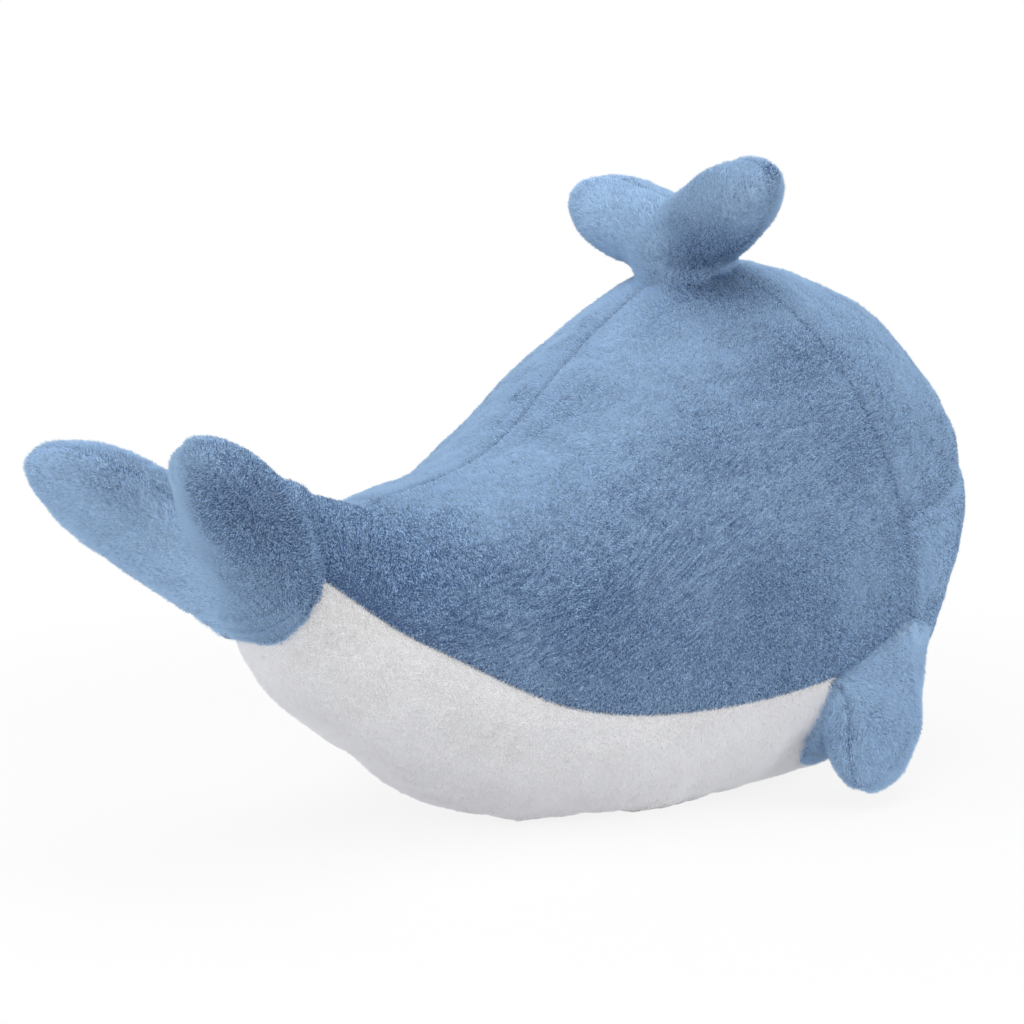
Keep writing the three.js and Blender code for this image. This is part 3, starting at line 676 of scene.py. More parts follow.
def pile_tree(piece, material, ruffle, seed):
    """Strands on every face whose pile isn't nought, combed along the cloth and gathered in tufts."""
    group = bpy.data.node_groups.new(piece.name + "_pile", "GeometryNodeTree")
    group.interface.new_socket("Geometry", in_out="OUTPUT", socket_type="NodeSocketGeometry")
    tree = Tree(group)

    def named(key, kind):
        return tree.add("GeometryNodeInputNamedAttribute", {"Name": key}, data_type=kind).outputs[0]

    def kept(points, key, value):
        node = tree.add(
            "GeometryNodeStoreNamedAttribute",
            {"Geometry": points, "Name": key, "Value": value},
            data_type="FLOAT_VECTOR",
            domain="POINT",
        )
        return node.outputs[0]

    source = tree.add("GeometryNodeObjectInfo", {"Object": piece}, transform_space="RELATIVE")
    cloth = source.outputs["Geometry"]
    share = tree.math("MINIMUM", tree.math("MULTIPLY", named("pile", "FLOAT"), 4.0), 1.0)
    strands = STRANDS * 1.0
    planted = tree.add(
        "GeometryNodeDistributePointsOnFaces",
        {"Mesh": cloth, "Density": tree.math("MULTIPLY", share, strands), "Seed": seed},
    )
    chance = tree.add(
        "FunctionNodeRandomValue", {0: (-1, -1, -1), 1: (1, 1, 1), "Seed": seed}, data_type="FLOAT_VECTOR"
    )
    points = kept(planted.outputs["Points"], "skin_normal", planted.outputs["Normal"])
    points = kept(points, "root", tree.add("GeometryNodeInputPosition").outputs[0])
    points = kept(points, "stray", chance.outputs[0])
    line = tree.add("GeometryNodeCurvePrimitiveLine", {"Start": (0, 0, 0), "End": (0, 0, 0.001)})
    strand = tree.add("GeometryNodeResampleCurve", {"Curve": line.outputs[0], "Count": 4})
    copies = tree.add("GeometryNodeInstanceOnPoints", {"Points": points, "Instance": strand.outputs[0]})
    real = tree.add("GeometryNodeRealizeInstances", {"Geometry": copies.outputs[0]}).outputs[0]

    root = named("root", "FLOAT_VECTOR")
    normal = named("skin_normal", "FLOAT_VECTOR")
    stray = named("stray", "FLOAT_VECTOR")
    t = tree.add("GeometryNodeSplineParameter").outputs["Factor"]
    length = tree.math("MULTIPLY", named("pile", "FLOAT"), STRAND_LENGTH)
    swirl = tree.vector("SUBTRACT", tree.noise(root, SWIRLS, 2.0).outputs["Color"], (0.5, 0.5, 0.5))
    lean = tree.vector("SCALE", named("comb", "FLOAT_VECTOR"), LEAN["comb"])
    lean = tree.vector("ADD", lean, tree.vector("SCALE", stray, LEAN["stray"]))
    lean = tree.vector("ADD", lean, tree.vector("SCALE", swirl, LEAN["swirl"] * ruffle))
    way = tree.vector("ADD", tree.vector("SCALE", normal, LEAN["stand"]), tree.vector("SCALE", lean, t))
    grown = tree.vector("SCALE", way, tree.math("MULTIPLY", length, t))
    tuft = tree.add("ShaderNodeTexVoronoi", {"Vector": root, "Scale": TUFTS}).outputs["Position"]
    pull = tree.vector("SUBTRACT", tuft, root)
    lifted = tree.vector("SCALE", normal, tree.vector("DOT_PRODUCT", pull, normal))
    pull = tree.vector("SUBTRACT", pull, lifted)
    towards_tip = tree.math("MULTIPLY", tree.math("MULTIPLY", t, t), LEAN["tuft"] * ruffle)
    pull = tree.vector("SCALE", pull, towards_tip)
    place = tree.vector("ADD", tree.vector("ADD", root, grown), pull)
    laid = tree.add("GeometryNodeSetPosition", {"Geometry": real, "Position": place}).outputs[0]
    taper = tree.math("SUBTRACT", 1.0, tree.math("MULTIPLY", t, LEAN["taper"]))
    radius = tree.math("MULTIPLY", taper, STRAND_RADIUS)
    thin = tree.add("GeometryNodeSetCurveRadius", {"Curve": laid, "Radius": radius})
    dressed = tree.add("GeometryNodeSetMaterial", {"Geometry": thin.outputs[0], "Material": material})
    tree.add("NodeGroupOutput", {0: dressed.outputs[0]})
    return group


def grow_pile(piece, fur, seed):
    """Puts the pile on a piece of plush, as strands that follow its cloth."""
    strands, ruffle = fur
    name = piece.name + "_pile"
    pile = bpy.data.objects.new(name, bpy.data.hair_curves.new(name))
    bpy.context.scene.collection.objects.link(pile)
    # The strands cast no shadow and block no bounced light; their painted darker roots stand in for it.
    pile.visible_shadow = False
    pile.visible_diffuse = False
    modifier = pile.modifiers.new("pile", "NODES")
    modifier.node_group = pile_tree(piece, strands, ruffle, seed)


# Body panels

def shade_and_tone_at(points, normals, slope_shading, seed):
    """How much darker the pile is painted: painted shade on steep cloth, seeded ripples of tone, and the
    listed patches of painted shade and light.
    """
    # Painted shade on cloth that faces away from the light above.
    slope_shade = slope_shading * (1 - np.clip(normals[:, 2] / STEEP, 0, 1))
    return slope_shade + rippled(points, TONE_RIPPLES, seed) + patches(points, PATCHES_AND_PAINTED_SHADING)


def grid_normals(grid):
    """The outward normals of a grid of points on the body."""
    found = unit(np.cross(np.gradient(grid, axis=0), np.gradient(grid, axis=1)))
    outward = np.sum(found * (grid - INSIDE_BODY), -1, keepdims=True)
    return (found * np.sign(outward)).reshape(-1, 3)


def panel_values(grid, from_seam, comb, slope_shading, seed):
    """What the pile needs at each point of a panel: its length, its direction, and its tone with painted
    shade.
    """
    points = grid.reshape(-1, 3)
    gap = from_seam.reshape(-1)
    near_seam = np.clip(SEAM_PILE[0] + gap / SEAM_PILE[1], 0, 1)
    near_floor = np.clip((points[:, 2] - PILE) / FLOOR_PILE[1], FLOOR_PILE[0], 1)
    rows, columns = arcs(grid, 0)[0], arcs(grid, 1)[0]
    tone = shade_and_tone_at(points, grid_normals(grid), slope_shading, seed)
    return {
        "pile": near_seam * near_floor,
        "comb": unit(comb).reshape(-1, 3),
        "lay": np.stack([rows, columns, 0 * rows], -1).reshape(-1, 3),
        # Painted shade along the seams.
        "tone": tone + painted_line_shade(gap, SEAM_PAINTED_SHADE),
    }


def stuffed(plain, from_seam, rolls):
    """How far inside its plain form a panel's cloth lies, with its seams, slack places and lumps."""
    away = np.clip(from_seam / LUMPS_START, 0, 1)
    return sum(rolls, PILE) + patches(plain, SLACK) - lumps(plain, PANEL_SEED) * away


def panel_piece(name, grid, values, material):
    """A panel's cloth from its grid of points."""
    faces = grid_faces(*grid.shape[:2])
    return cloth_piece(name, grid.reshape(-1, 3), faces, INSIDE_BODY, values, material)


def side_panel(name, side, material):
    """One side of the body, from the back seam to the belly seam; side is 1 for the left."""
    station = np.linspace(0, HEAD_SEAM, SIDE_GRID[0])[:, None]
    share = np.linspace(0, 1, SIDE_GRID[1])[None, :]
    angle = side * share * girth(station[:, 0])[3][:, None]
    plain = body_point(station, angle)
    back, belly = arcs(plain, 1)
    tail, head = arcs(plain, 0)
    rolls = [roll(back, BACK_ROLL), roll(belly, BELLY_ROLL), roll(tail, ROOT_ROLL), roll(head, HEAD_ROLL)]
    from_seam = np.minimum(np.minimum(back, belly), np.minimum(tail, head))
    grid = body_point(station, angle, stuffed(plain, from_seam, rolls))
    values = panel_values(grid, from_seam, -np.gradient(grid, axis=0), SIDE_PAINTED_SHADE, BLUE_TONE_SEED)
    return panel_piece(name, grid, values, material)


def forehead_panel(name, material):
    """The front of the head above the face seam."""
    elevation = np.linspace(0, math.pi / 2, FOREHEAD_GRID[0])[:, None]
    side = np.linspace(-math.pi / 2, math.pi / 2, FOREHEAD_GRID[1])[None, :]
    plain = head_point(elevation, side)
    face, head = arcs(plain, 0)
    from_seam = np.minimum(face, head)
    rolls = [roll(face, FACE_ROLL), roll(head, HEAD_ROLL)]
    grid = head_point(elevation, side, stuffed(plain, from_seam, rolls))
    values = panel_values(grid, from_seam, np.gradient(grid, axis=0), HEAD_PAINTED_SHADE, BLUE_TONE_SEED)
    for sign in (-1, 1):
        centre, _ = eye_place(sign)
        gap = np.linalg.norm(grid.reshape(-1, 3) - centre, axis=-1)
        values["pile"] = values["pile"] * np.clip((gap - EYE["radius"]) / EYE["clearing"], 0, 1)
    return panel_piece(name, grid, values, material)


def face_panel(name, material):
    """The front of the head from the face seam down to the belly panel under the chin."""
    share = np.linspace(0, 1, FACE_GRID[0])[:, None]
    side = np.linspace(-math.pi / 2, math.pi / 2, FACE_GRID[1])[None, :]
    elevation = share * chin_elevation(side)
    plain = head_point(elevation, side)
    face, chin = arcs(plain, 0)
    head = np.minimum(*arcs(plain, 1))
    from_seam = np.minimum(np.minimum(face, chin), head)
    rolls = [roll(face, FACE_ROLL), roll(chin, BELLY_ROLL), roll(head, HEAD_ROLL)]
    inset = stuffed(plain, from_seam, [face_flat(elevation, side), *rolls])
    grid = head_point(elevation, side, inset)
    values = panel_values(grid, from_seam, np.gradient(grid, axis=0), HEAD_PAINTED_SHADE, BLUE_TONE_SEED)
    return panel_piece(name, grid, values, material)


def belly_grid(across, inset):
    """The belly panel's points: rings from the tail to the head seam, then rows up under the chin."""
    station = np.linspace(0, HEAD_SEAM, BELLY_RINGS)[:, None]
    seam = girth(station[:, 0])[3][:, None]
    rings = body_point(station, math.pi + across * (math.pi - seam), inset[:BELLY_RINGS])
    side = -across * (math.pi - girth(HEAD_SEAM)[3])
    rise = np.linspace(0, 1, CHIN_ROWS + 1)[1:, None]
    elevation = -math.pi / 2 + rise * (chin_elevation(side) + math.pi / 2)
    chin = head_point(elevation, side, inset[BELLY_RINGS:] + face_flat(elevation, side))
    return np.concatenate([rings, chin])


def belly_panel(name, material):
    """The pale underside, from the tail to the chin."""
    across = np.linspace(-1, 1, BELLY_COLUMNS)[None, :]
    plain = belly_grid(across, np.full((BELLY_RINGS + CHIN_ROWS, 1), PILE))
    left, right = arcs(plain, 1)
    tail, chin = arcs(plain, 0)
    from_seam = np.minimum(np.minimum(left, right), np.minimum(tail, chin))
    grid = belly_grid(across, stuffed(plain, from_seam, [roll(from_seam, BELLY_ROLL)]))
    values = panel_values(grid, from_seam, -np.gradient(grid, axis=0), 0.0, PALE_TONE_SEED)
    return panel_piece(name, grid, values, material)


# Limbs

def turned(vector, axis, angle):
    """A vector turned about an axis."""
    return np.array(Matrix.Rotation(angle, 3, Vector(axis)) @ Vector(vector))


def limb_frame(along, across, root):
    """A limb's own axes as columns, with its root."""
    along, across = unit(along), unit(across)
    return np.stack([along, across, np.cross(along, across)], -1), root


def fluke_frame():
    """The fluke's axes, with its root under the end of the spine."""
    centre, tail, up = spine(0.0)
    along = np.array([-math.cos(FLUKE_PITCH), 0, math.sin(FLUKE_PITCH)])
    across = turned((0, 1, 0), along, FLUKE_ROLL)
    return limb_frame(along, across, centre + tail * FLUKE_SETBACK - up * FLUKE_BELOW_SPINE)


def spout_frame():
    """The spout's axes, with its root on the back of the head."""
    along = turned((0, 0, 1), (0, 1, 0), -SPOUT_LEAN)
    forward = np.cross((0, 1, 0), along)
    along = turned(along, forward, -SPOUT_ROLL)
    return limb_frame(along, np.cross(along, forward), SPOUT_ROOT)


def fin_frame():
    """The right fin's axes, with its root on the belly seam."""
    seam = girth(FIN_STATION)[3]
    root = body_point(FIN_STATION, -seam, 0.0)
    forward = unit(body_point(FIN_STATION + 0.01, -seam, 0.0) - root)
    down = unit(np.array([0, 0, -1.0]) + forward * forward[2])
    outward = np.cross(down, forward)
    hang = down * math.cos(FIN_SPLAY) + outward * math.sin(FIN_SPLAY)
    along = hang * math.cos(FIN_SWEEP) + forward * math.sin(FIN_SWEEP)
    across = forward * math.cos(FIN_SWEEP) - hang * math.sin(FIN_SWEEP)
    return limb_frame(along, across, root)


def fin_root(share, inner):
    """The lines where the right fin is sewn on, from its back to its front on the face.

    The outer one follows the belly seam, and the inner one runs lower, over the belly.
    """
    seam = girth(FIN_BACK)[3]
    back = body_point(FIN_BACK, -seam - FIN_BACK_BELOW_SEAM, 0.0)
    front = head_point(*FIN_FRONT, face_flat(*FIN_FRONT))
    places = FIN_INNER_ROOT if inner else FIN_OUTER_ROOT
    between = [body_point(station, -angle * DEGREE, 0.0) for station, angle in places]
    knots = np.vstack([back, *between, front])
    return spline(knots, share * (len(knots) - 1))[0]


def fin_grid(axes_root, inner):
    """Rings of one cover of the right fin, from its sewn root to its tip.

    The back seam lies a little to the outside, so the inner cover shows behind the outer one.
    """
    back_seam = math.pi - FIN_SEAM_TURN
    across = np.linspace(0, 1, FIN_GRID)[None, :]
    around = back_seam + across * (2 * math.pi - back_seam) if inner else across * back_seam
    sewn = (1 - np.cos(math.pi * across)) / 2
    share = np.concatenate([[0.0], 1 - (1 - np.linspace(0, 0.999, FIN_GRID)) ** 1.5])[:, None]
    half_width, half_depth = lobe_section(FIN, share)
    under_pile = PILE * np.sqrt(1 - share)
    x = share * (FIN["length"] - PILE)
    y = (half_width - under_pile) * np.cos(around)
    z = (half_depth - under_pile) * np.sin(around)
    bent = z + FIN_BEND * (x**2 + y**2) / FIN["length"]
    hung = to_world(np.stack([x + 0 * y, y, bent], -1), axes_root)
    line = fin_root(sewn if inner else 1 - sewn, inner)
    inward = unit(INSIDE_BODY - line) * np.array([0, 1, 1])
    sunk = np.where(np.arange(len(share)) == 0, FIN_EDGE_SUNK, FIN_ROOT_SUNK)[:, None, None]
    slow = FIN_INNER_EASE * np.sin(math.pi * across) if inner else 0.0
    ease = eased(share / (FIN_EASE + slow))[..., None]
    bulge = FIN_INNER_BULGE * np.sin(math.pi * across)[..., None] if inner else 0.0
    swell = bulge * 4 * ease * (1 - ease)
    return (line + inward * (sunk - swell)) * (1 - ease) + hung * ease


def mirror(side):
    """What the right fin's points are multiplied by: the left fin is its mirror image."""
    return np.array([1, -1 if side == "left" else 1, 1])


def fin_covers(side, axes_root, material, seed):
    """A fin's outer and inner cover."""
    flip = mirror(side)
    covers = []
    for name, inner in (("_fin_outer_plush", False), ("_fin_inner_plush", True)):
        grid = fin_grid(axes_root, inner)
        front, back = arcs(grid, 1)
        from_rim = np.minimum(front, back).reshape(-1)
        points = grid.reshape(-1, 3)
        faces = grid_faces(*grid.shape[:2])
        normals = normals_of(points, faces)
        depth = LIMB_INSIDE if inner else -LIMB_INSIDE
        middle = to_world(np.array([FIN["length"] / 2, 0, depth]), axes_root)
        normals = normals * np.sign(np.sum(normals * (points - middle)))
        inset = roll(from_rim, RIM_ROLL) - FIN_LUMPS * lumps(points, seed)
        points = points - normals * inset[:, None]
        comb = np.gradient(grid, axis=0).reshape(-1, 3)
        values = limb_values(to_limb(points, axes_root), points, normals, from_rim, comb, seed)
        values["comb"] = values["comb"] * flip
        covers.append(cloth_piece(side + name, points * flip, faces, middle * flip, values, material))
    return covers


def to_world(points, axes_root):
    """Points of a limb's own frame in the whale's frame."""
    axes, root = axes_root
    return points @ axes.T + root


def to_limb(points, axes_root):
    """Points of the whale's frame in a limb's own frame."""
    axes, root = axes_root
    return (points - root) @ axes


def ringed(rings):
    """A closed skin over rings of points, with both ends filled."""
    rows, columns = rings.shape[:2]
    corner = np.arange(rows * columns).reshape(rows, columns)
    after = np.roll(corner, -1, axis=1)
    faces = np.stack([corner[:-1], after[:-1], after[1:], corner[1:]], -1).reshape(-1, 4).tolist()
    return rings.reshape(-1, 3), faces + [corner[0, ::-1].tolist(), corner[-1].tolist()]


def lobe_section(size, share):
    """Half width and half thickness of a limb's lobe at a share of its length."""
    grow = np.sin(math.pi / 2 * np.minimum(1, share / size["swell_at"]))
    past = np.clip((share - size["swell_at"]) / (1 - size["swell_at"]), 0, 1)
    close = np.sqrt(1 - past**2)
    return [(a + (b - a) * grow) * close for a, b in zip(size["root"], size["swell"])]


def lobe(size, spread, bend, starts, inset):
    """One rounded lobe in its limb's frame, turned by its spread and curled by its bend."""
    share = 1 - (1 - np.linspace(0, 0.995, LOBE_GRID[0])) ** 1.6
    half_width, half_depth = lobe_section(size, share)
    around = circle(LOBE_GRID[1])[None, :]
    x = (starts + share * (size["length"] - starts - inset))[:, None] + 0 * around
    y = np.maximum(half_width - inset, LOBE_CORE)[:, None] * np.cos(around)
    z = np.maximum(half_depth - inset, LOBE_CORE)[:, None] * np.sin(around)
    spun = [x * math.cos(spread) - y * math.sin(spread), x * math.sin(spread) + y * math.cos(spread)]
    return ringed(np.stack([*spun, z + bend * (x**2 + y**2) / size["length"]], -1))


def neck():
    """The fluke's root: the tail's ring, gathered at its seam and closed behind as a dome."""
    centre, tail, up = spine(0.0)
    around = circle(RING_POINTS)
    half_width, rise, drop, _ = girth(0.0)
    height = np.where(np.cos(around) > 0, rise, drop)
    saddle = NECK["saddle"] * np.maximum(np.cos(around), 0) ** 2
    sag = NECK["sag"] * np.maximum(-np.cos(around), 0) ** 0.5
    rings = []
    for back, inside in NECK_RINGS:
        inset = PILE + inside
        ring = centre - tail * back + np.outer((height - inset) * np.cos(around), up)
        rings.append(ring + np.outer((half_width - inset) * np.sin(around), (0, 1, 0)))
    for lean in np.linspace(10, 88, NECK["dome_rings"]) * DEGREE:
        shrink = math.cos(lean)
        rounded = (height - PILE + saddle + sag) * np.cos(around) * shrink
        ring = centre - tail * ((NECK["length"] - PILE) * math.sin(lean)) + np.outer(rounded, up)
        rings.append(ring + np.outer((half_width - PILE) * np.sin(around) * shrink, (0, 1, 0)))
    return ringed(np.array(rings))


def stem(axes_root):
    """The spout's short stem, sunk in the body."""
    around = circle(LOBE_GRID[1])
    height, drawn = STEM["height"], STEM["drawn_in"]
    bottom = [(-STEM["sunk"], 0), (0.0, 0.5 * drawn)]
    top = [(height * 0.5, 0.25 * drawn), (height + STEM["top"], drawn)]
    rings = []
    for at, inset in bottom + top:
        across = (STEM["half_width"] - SPOUT_PILE - inset) * np.cos(around)
        through = (STEM["half_depth"] - SPOUT_PILE - inset) * np.sin(around)
        rings.append(np.stack([np.full(len(around), at), across, through], -1))
    points, faces = ringed(np.array(rings))
    return to_world(points, axes_root), faces


def fused(parts, voxel):
    """Overlapping closed skins made one, on an even grid: its points and its four-sided faces."""
    points = np.vstack([part[0] for part in parts])
    faces, count = [], 0
    for part in parts:
        faces += [[corner + count for corner in face] for face in part[1]]
        count += len(part[0])
    made = bpy.data.objects.new("fused", mesh_of("fused", points, faces))
    bpy.context.scene.collection.objects.link(made)
    remesh = made.modifiers.new("remesh", "REMESH")
    remesh.mode = "VOXEL"
    remesh.voxel_size = voxel
    shape = made.evaluated_get(bpy.context.evaluated_depsgraph_get()).data
    found = np.array([v.co for v in shape.vertices])
    sides = [list(p.vertices) for p in shape.polygons]
    bpy.data.objects.remove(made)
    return found, sides


def smoothed(points, faces, rounds):
    """Points drawn towards their neighbours' middle, so that joined forms flow into each other."""
    edges = np.array([(a, b) for face in faces for a, b in zip(face, face[1:] + face[:1])])
    count = np.maximum(np.bincount(edges[:, 0], minlength=len(points)), 1)[:, None]
    for _ in range(rounds):
        middle = np.zeros_like(points)
        np.add.at(middle, edges[:, 0], points[edges[:, 1]])
        points = points + 0.5 * (middle / count - points)
    return points


def halves(points, faces, axes_root, bend, length):
    """The limb's skin cut along its curled middle: one open cloth on each side of the rim seam."""
    local = to_limb(points, axes_root)
    curl = bend * (local[:, 0] ** 2 + local[:, 1] ** 2) / length
    flat = local - np.outer(curl, (0, 0, 1))
    for sign in (1, -1):
        cut = bmesh.new()
        corners = [cut.verts.new(p) for p in flat]
        for face in faces:
            cut.faces.new([corners[i] for i in face])
        everything = cut.verts[:] + cut.edges[:] + cut.faces[:]
        bmesh.ops.bisect_plane(
            cut, geom=everything, dist=0.0004, plane_co=(0, 0, 0), plane_no=(0, 0, -sign), clear_outer=True
        )
        cut.verts.index_update()
        half = np.array([v.co for v in cut.verts])
        sides = [[v.index for v in f.verts] for f in cut.faces]
        cut.free()
        from_rim = np.abs(half[:, 2])
        half[:, 2] += bend * (half[:, 0] ** 2 + half[:, 1] ** 2) / length
        yield sign, half, sides, from_rim


def limb_values(local, world, normals, from_rim, comb, seed):
    """What the pile needs at each point of a limb's cover."""
    tone = shade_and_tone_at(world, normals, LIMB_PAINTED_SHADING, seed)
    return {
        "pile": LIMB_PILE * np.clip(RIM_PILE[0] + from_rim / RIM_PILE[1], 0, 1),
        "comb": unit(comb),
        "lay": local,
        # Painted shade along the rim seam.
        "tone": tone + painted_line_shade(from_rim, RIM_PAINTED_SHADE),
    }


def behind_tail(points):
    """The points, with those that would lie over the body drawn back behind the tail's seam, and gathered."""
    centre, tail, up = spine(0.0)
    half_width, rise, drop, _ = girth(0.0)
    ahead = (points - centre) @ tail
    height = (points - centre) @ up
    ring = np.hypot(points[:, 1] / half_width, height / np.where(height > 0, rise, drop))
    outside = np.clip((ring - TAIL_CLEAR["ring"]) / TAIL_CLEAR["ease"], 0, 1)
    over = outside * np.maximum(ahead - TAIL_CLEAR["gap"], 0)
    return gathered(points - np.outer(over * TAIL_CLEAR["share"], tail))


def gathered(points):
    """The points with small folds along the seam, where the fluke's cloth is gathered to the tail."""
    centre, tail, up = spine(0.0)
    behind = (centre - points) @ tail
    outward = unit(points - centre + np.outer(behind, tail))
    folds = np.sin(2 * math.pi * behind / GATHERS["spacing"])
    below = np.clip(GATHERS["from_middle"] - (points - centre) @ up / GATHERS["fade"], 0, 1)
    depth = GATHERS["depth"] * folds * below * np.exp(-((behind / GATHERS["reach"]) ** 2))
    return points + outward * depth[:, None]


def limb_covers(names, parts, axes_root, bend, length, material, seed, shaped=None):
    """The two covers of a limb, first the one on its frame's positive side."""
    points, faces = fused(parts, LIMB_VOXEL)
    points = smoothed(points, faces, LIMB_SMOOTHING)
    if shaped:
        points = shaped(points)
    covers = []
    for name, (sign, local, sides, from_rim) in zip(names, halves(points, faces, axes_root, bend, length)):
        world = to_world(local, axes_root)
        normals = normals_of(world, sides)
        middle = to_world(np.array([[length * LIMB_MIDDLE, 0, -sign * LIMB_INSIDE]]), axes_root)[0]
        normals = normals * np.sign(np.sum(normals * (world - middle)))
        inset = roll(from_rim, RIM_ROLL) - LIMB_LUMPS * lumps(world, seed)
        world = world - normals * inset[:, None]
        radial = local * (1, 1, 0) + (COMB_BEHIND, 0, 0)
        comb = radial @ axes_root[0].T
        comb = comb - normals * np.sum(comb * normals, -1, keepdims=True)
        values = limb_values(local, world, normals, from_rim, comb, seed)
        covers.append(cloth_piece(name, world, sides, middle, values, material))
    return covers


def lobes(size, spread, bend, axes_root, starts, inset):
    """A limb's lobes, one to each side of its middle, or one alone where they aren't spread."""
    spreads = (spread, -spread) if spread else (0.0,)
    made = [lobe(size, angle, bend, starts, inset) for angle in spreads]
    return [(to_world(points, axes_root), faces) for points, faces in made]


# Filling

def filling_piece(name, points, faces, material):
    """Loose filling inside the cloth, uneven all over."""
    normals = normals_of(points, faces)
    height, wave = FIBRE_LUMPS
    points = points + normals * (height * ripple(points, wave, FIBRE_SEED))[:, None]
    return placed(name, mesh_of(name, points, faces), material)


def body_filling(name, material):
    """The body's filling, well inside its panels."""
    rings = np.linspace(0.15, HEAD_SEAM, 90)
    head = np.linspace(HEAD_SEAM + 0.03, HEAD_SEAM + 0.97, 26)
    around = circle(110)[None, :]
    points, faces = ringed(body_point(np.concatenate([rings, head])[:, None], around, BODY_FIBRE))
    return filling_piece(name, points, faces, material)


def limb_filling(name, size, spread, bend, axes_root, starts, inset, material, mirrored=False):
    """A limb's filling, inside its covers and clear of its root."""
    points, faces = fused(lobes(size, spread, bend, axes_root, starts, inset), FIBRE_VOXEL)
    points = smoothed(points, faces, FIBRE_SMOOTHING)
    if mirrored:
        points = points * (1, -1, 1)
        faces = [face[::-1] for face in faces]
    return filling_piece(name, points, faces, material)


# Eyes

def eye_place(sign):
    """A safety eye's place on the outside of the head, and the direction that it faces."""
    station, angle = EYE_PLACE[0], sign * EYE_PLACE[1]
    centre = body_point(station, angle, 0.0)
    ahead = body_point(station + 0.001, angle, 0.0) - centre
    round_it = body_point(station, angle + 0.001, 0.0) - centre
    facing = unit(np.cross(ahead, round_it))
    if np.dot(facing, centre - INSIDE_BODY) < 0:
        facing = -facing
    return centre, facing


def eye_piece(name, sign, material):
    """A domed safety eye with a small rounded rim."""
    centre, facing = eye_place(sign)
    radius, height = EYE["radius"], EYE["height"]
    rim = EYE["rim"]
    rise = np.linspace(0, math.pi / 2 * 0.985, 22)
    profile = [(radius * 0.80, -0.0004), (radius * 0.96, -0.0002), (radius, 0.0004)]
    profile += [(radius * math.cos(a), rim + (height - rim) * math.sin(a)) for a in rise[1:]]
    across = unit(np.cross(facing, (0, 0, 1)))
    upward = np.cross(across, facing)
    around = circle(48)
    ring = np.outer(np.cos(around), across) + np.outer(np.sin(around), upward)
    base = centre - facing * EYE["sunk"]
    rings = np.array([base + facing * z + ring * r for r, z in profile])
    points, faces = ringed(rings)
    return placed(name, mesh_of(name, points, faces), material)


# Materials. A fur is its strands' material, with how ruffled the strands are.

BLUE_LIGHT, BLUE_DARK = srgb(150, 177, 206), srgb(58, 80, 113)
PALE_LIGHT, PALE_DARK = srgb(226, 226, 230), srgb(188, 186, 184)
blue_backing = plush_backing("blue_plush", BLUE_LIGHT, BLUE_DARK)
blue_fur = (plush_strands("blue_pile", srgb(152, 180, 209), srgb(16, 48, 91), grain=0.13), 1.0)
pale_backing = plush_backing("pale_plush", PALE_LIGHT, PALE_DARK)
pale_fur = (plush_strands("pale_pile", srgb(222, 223, 228), srgb(176, 174, 173), grain=0.08), 0.5)
fibre = fibre_material("filling_fibre")
eye_gloss = plastic_material("eye_gloss", srgb(8, 8, 9), srgb(16, 16, 18), roughness=0.12, coat=0.6)
washer_matte = plastic_material(
    "washer_matte", srgb(205, 205, 203), srgb(226, 226, 224), roughness=0.5, coat=0.0
)


# Pieces on the body

def settle(piece, body, slot, *nodes):
    """A piece that moves with one body and stands for these nodes."""
    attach(piece, body)
    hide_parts(*nodes)


def plush_panel(piece, slot, fur, seed, node):
    """A stuffed panel of the body, with its pile."""
    settle(piece, "body", slot, node)
    grow_pile(piece, fur, seed)


plush_panel(side_panel("right_side_plush", -1, blue_backing), "blue_plush", blue_fur, 1, "right_side_panel")
plush_panel(side_panel("left_side_plush", 1, blue_backing), "blue_plush", blue_fur, 2, "left_side_panel")
plush_panel(forehead_panel("forehead_plush", blue_backing), "blue_plush", blue_fur, 3, "forehead_panel")
plush_panel(face_panel("face_plush", blue_backing), "blue_plush", blue_fur, 4, "face_panel")
plush_panel(belly_panel("belly_plush", pale_backing), "belly_plush", pale_fur, 5, "belly_panel")

settle(body_filling("body_fibre", fibre), "body", "fibre_filling", "body_filling")
settle(eye_piece("right_eye_dome", -1, eye_gloss), "body", "eye_plastic", "right_eye")
settle(eye_piece("left_eye_dome", 1, eye_gloss), "body", "eye_plastic", "left_eye")
for washer in ("right_eye_washer", "left_eye_washer"):
    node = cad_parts[washer]
    node.data.materials.clear()
    node.data.materials.append(washer_matte)


# Pieces on the limbs

def plush_limb(covers, nodes, start, seed):
    """A limb's covers with their places baked in, standing for these nodes, each with its pile. The start is
    not used.
    """
    for step, (cover, node) in enumerate(zip(covers, nodes)):
        tuple(start)
        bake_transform(cover)
        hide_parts(node)
        grow_pile(cover, blue_fur, seed + step)


fluke = fluke_frame()
tail_end, tail_way, _ = spine(0.0)
fluke_parts = lobes(FLUKE, FLUKE_SPREAD, FLUKE_BEND, fluke, 0.0, FLUKE_PILE) + [neck()]
fluke_names = ("fluke_lower_plush", "fluke_upper_plush")
plush_limb(
    limb_covers(
        fluke_names, fluke_parts, fluke, FLUKE_BEND, FLUKE["length"], blue_backing, FLUKE_SEED, behind_tail
    ),
    ("fluke_lower_cover", "fluke_upper_cover"),
    tail_end,
    11,
)
fluke_fibre = limb_filling("fluke_fibre", FLUKE, FLUKE_SPREAD, FLUKE_BEND, fluke, *FLUKE_FIBRE, fibre)
settle(fluke_fibre, "fluke", "fibre_filling", "fluke_filling")

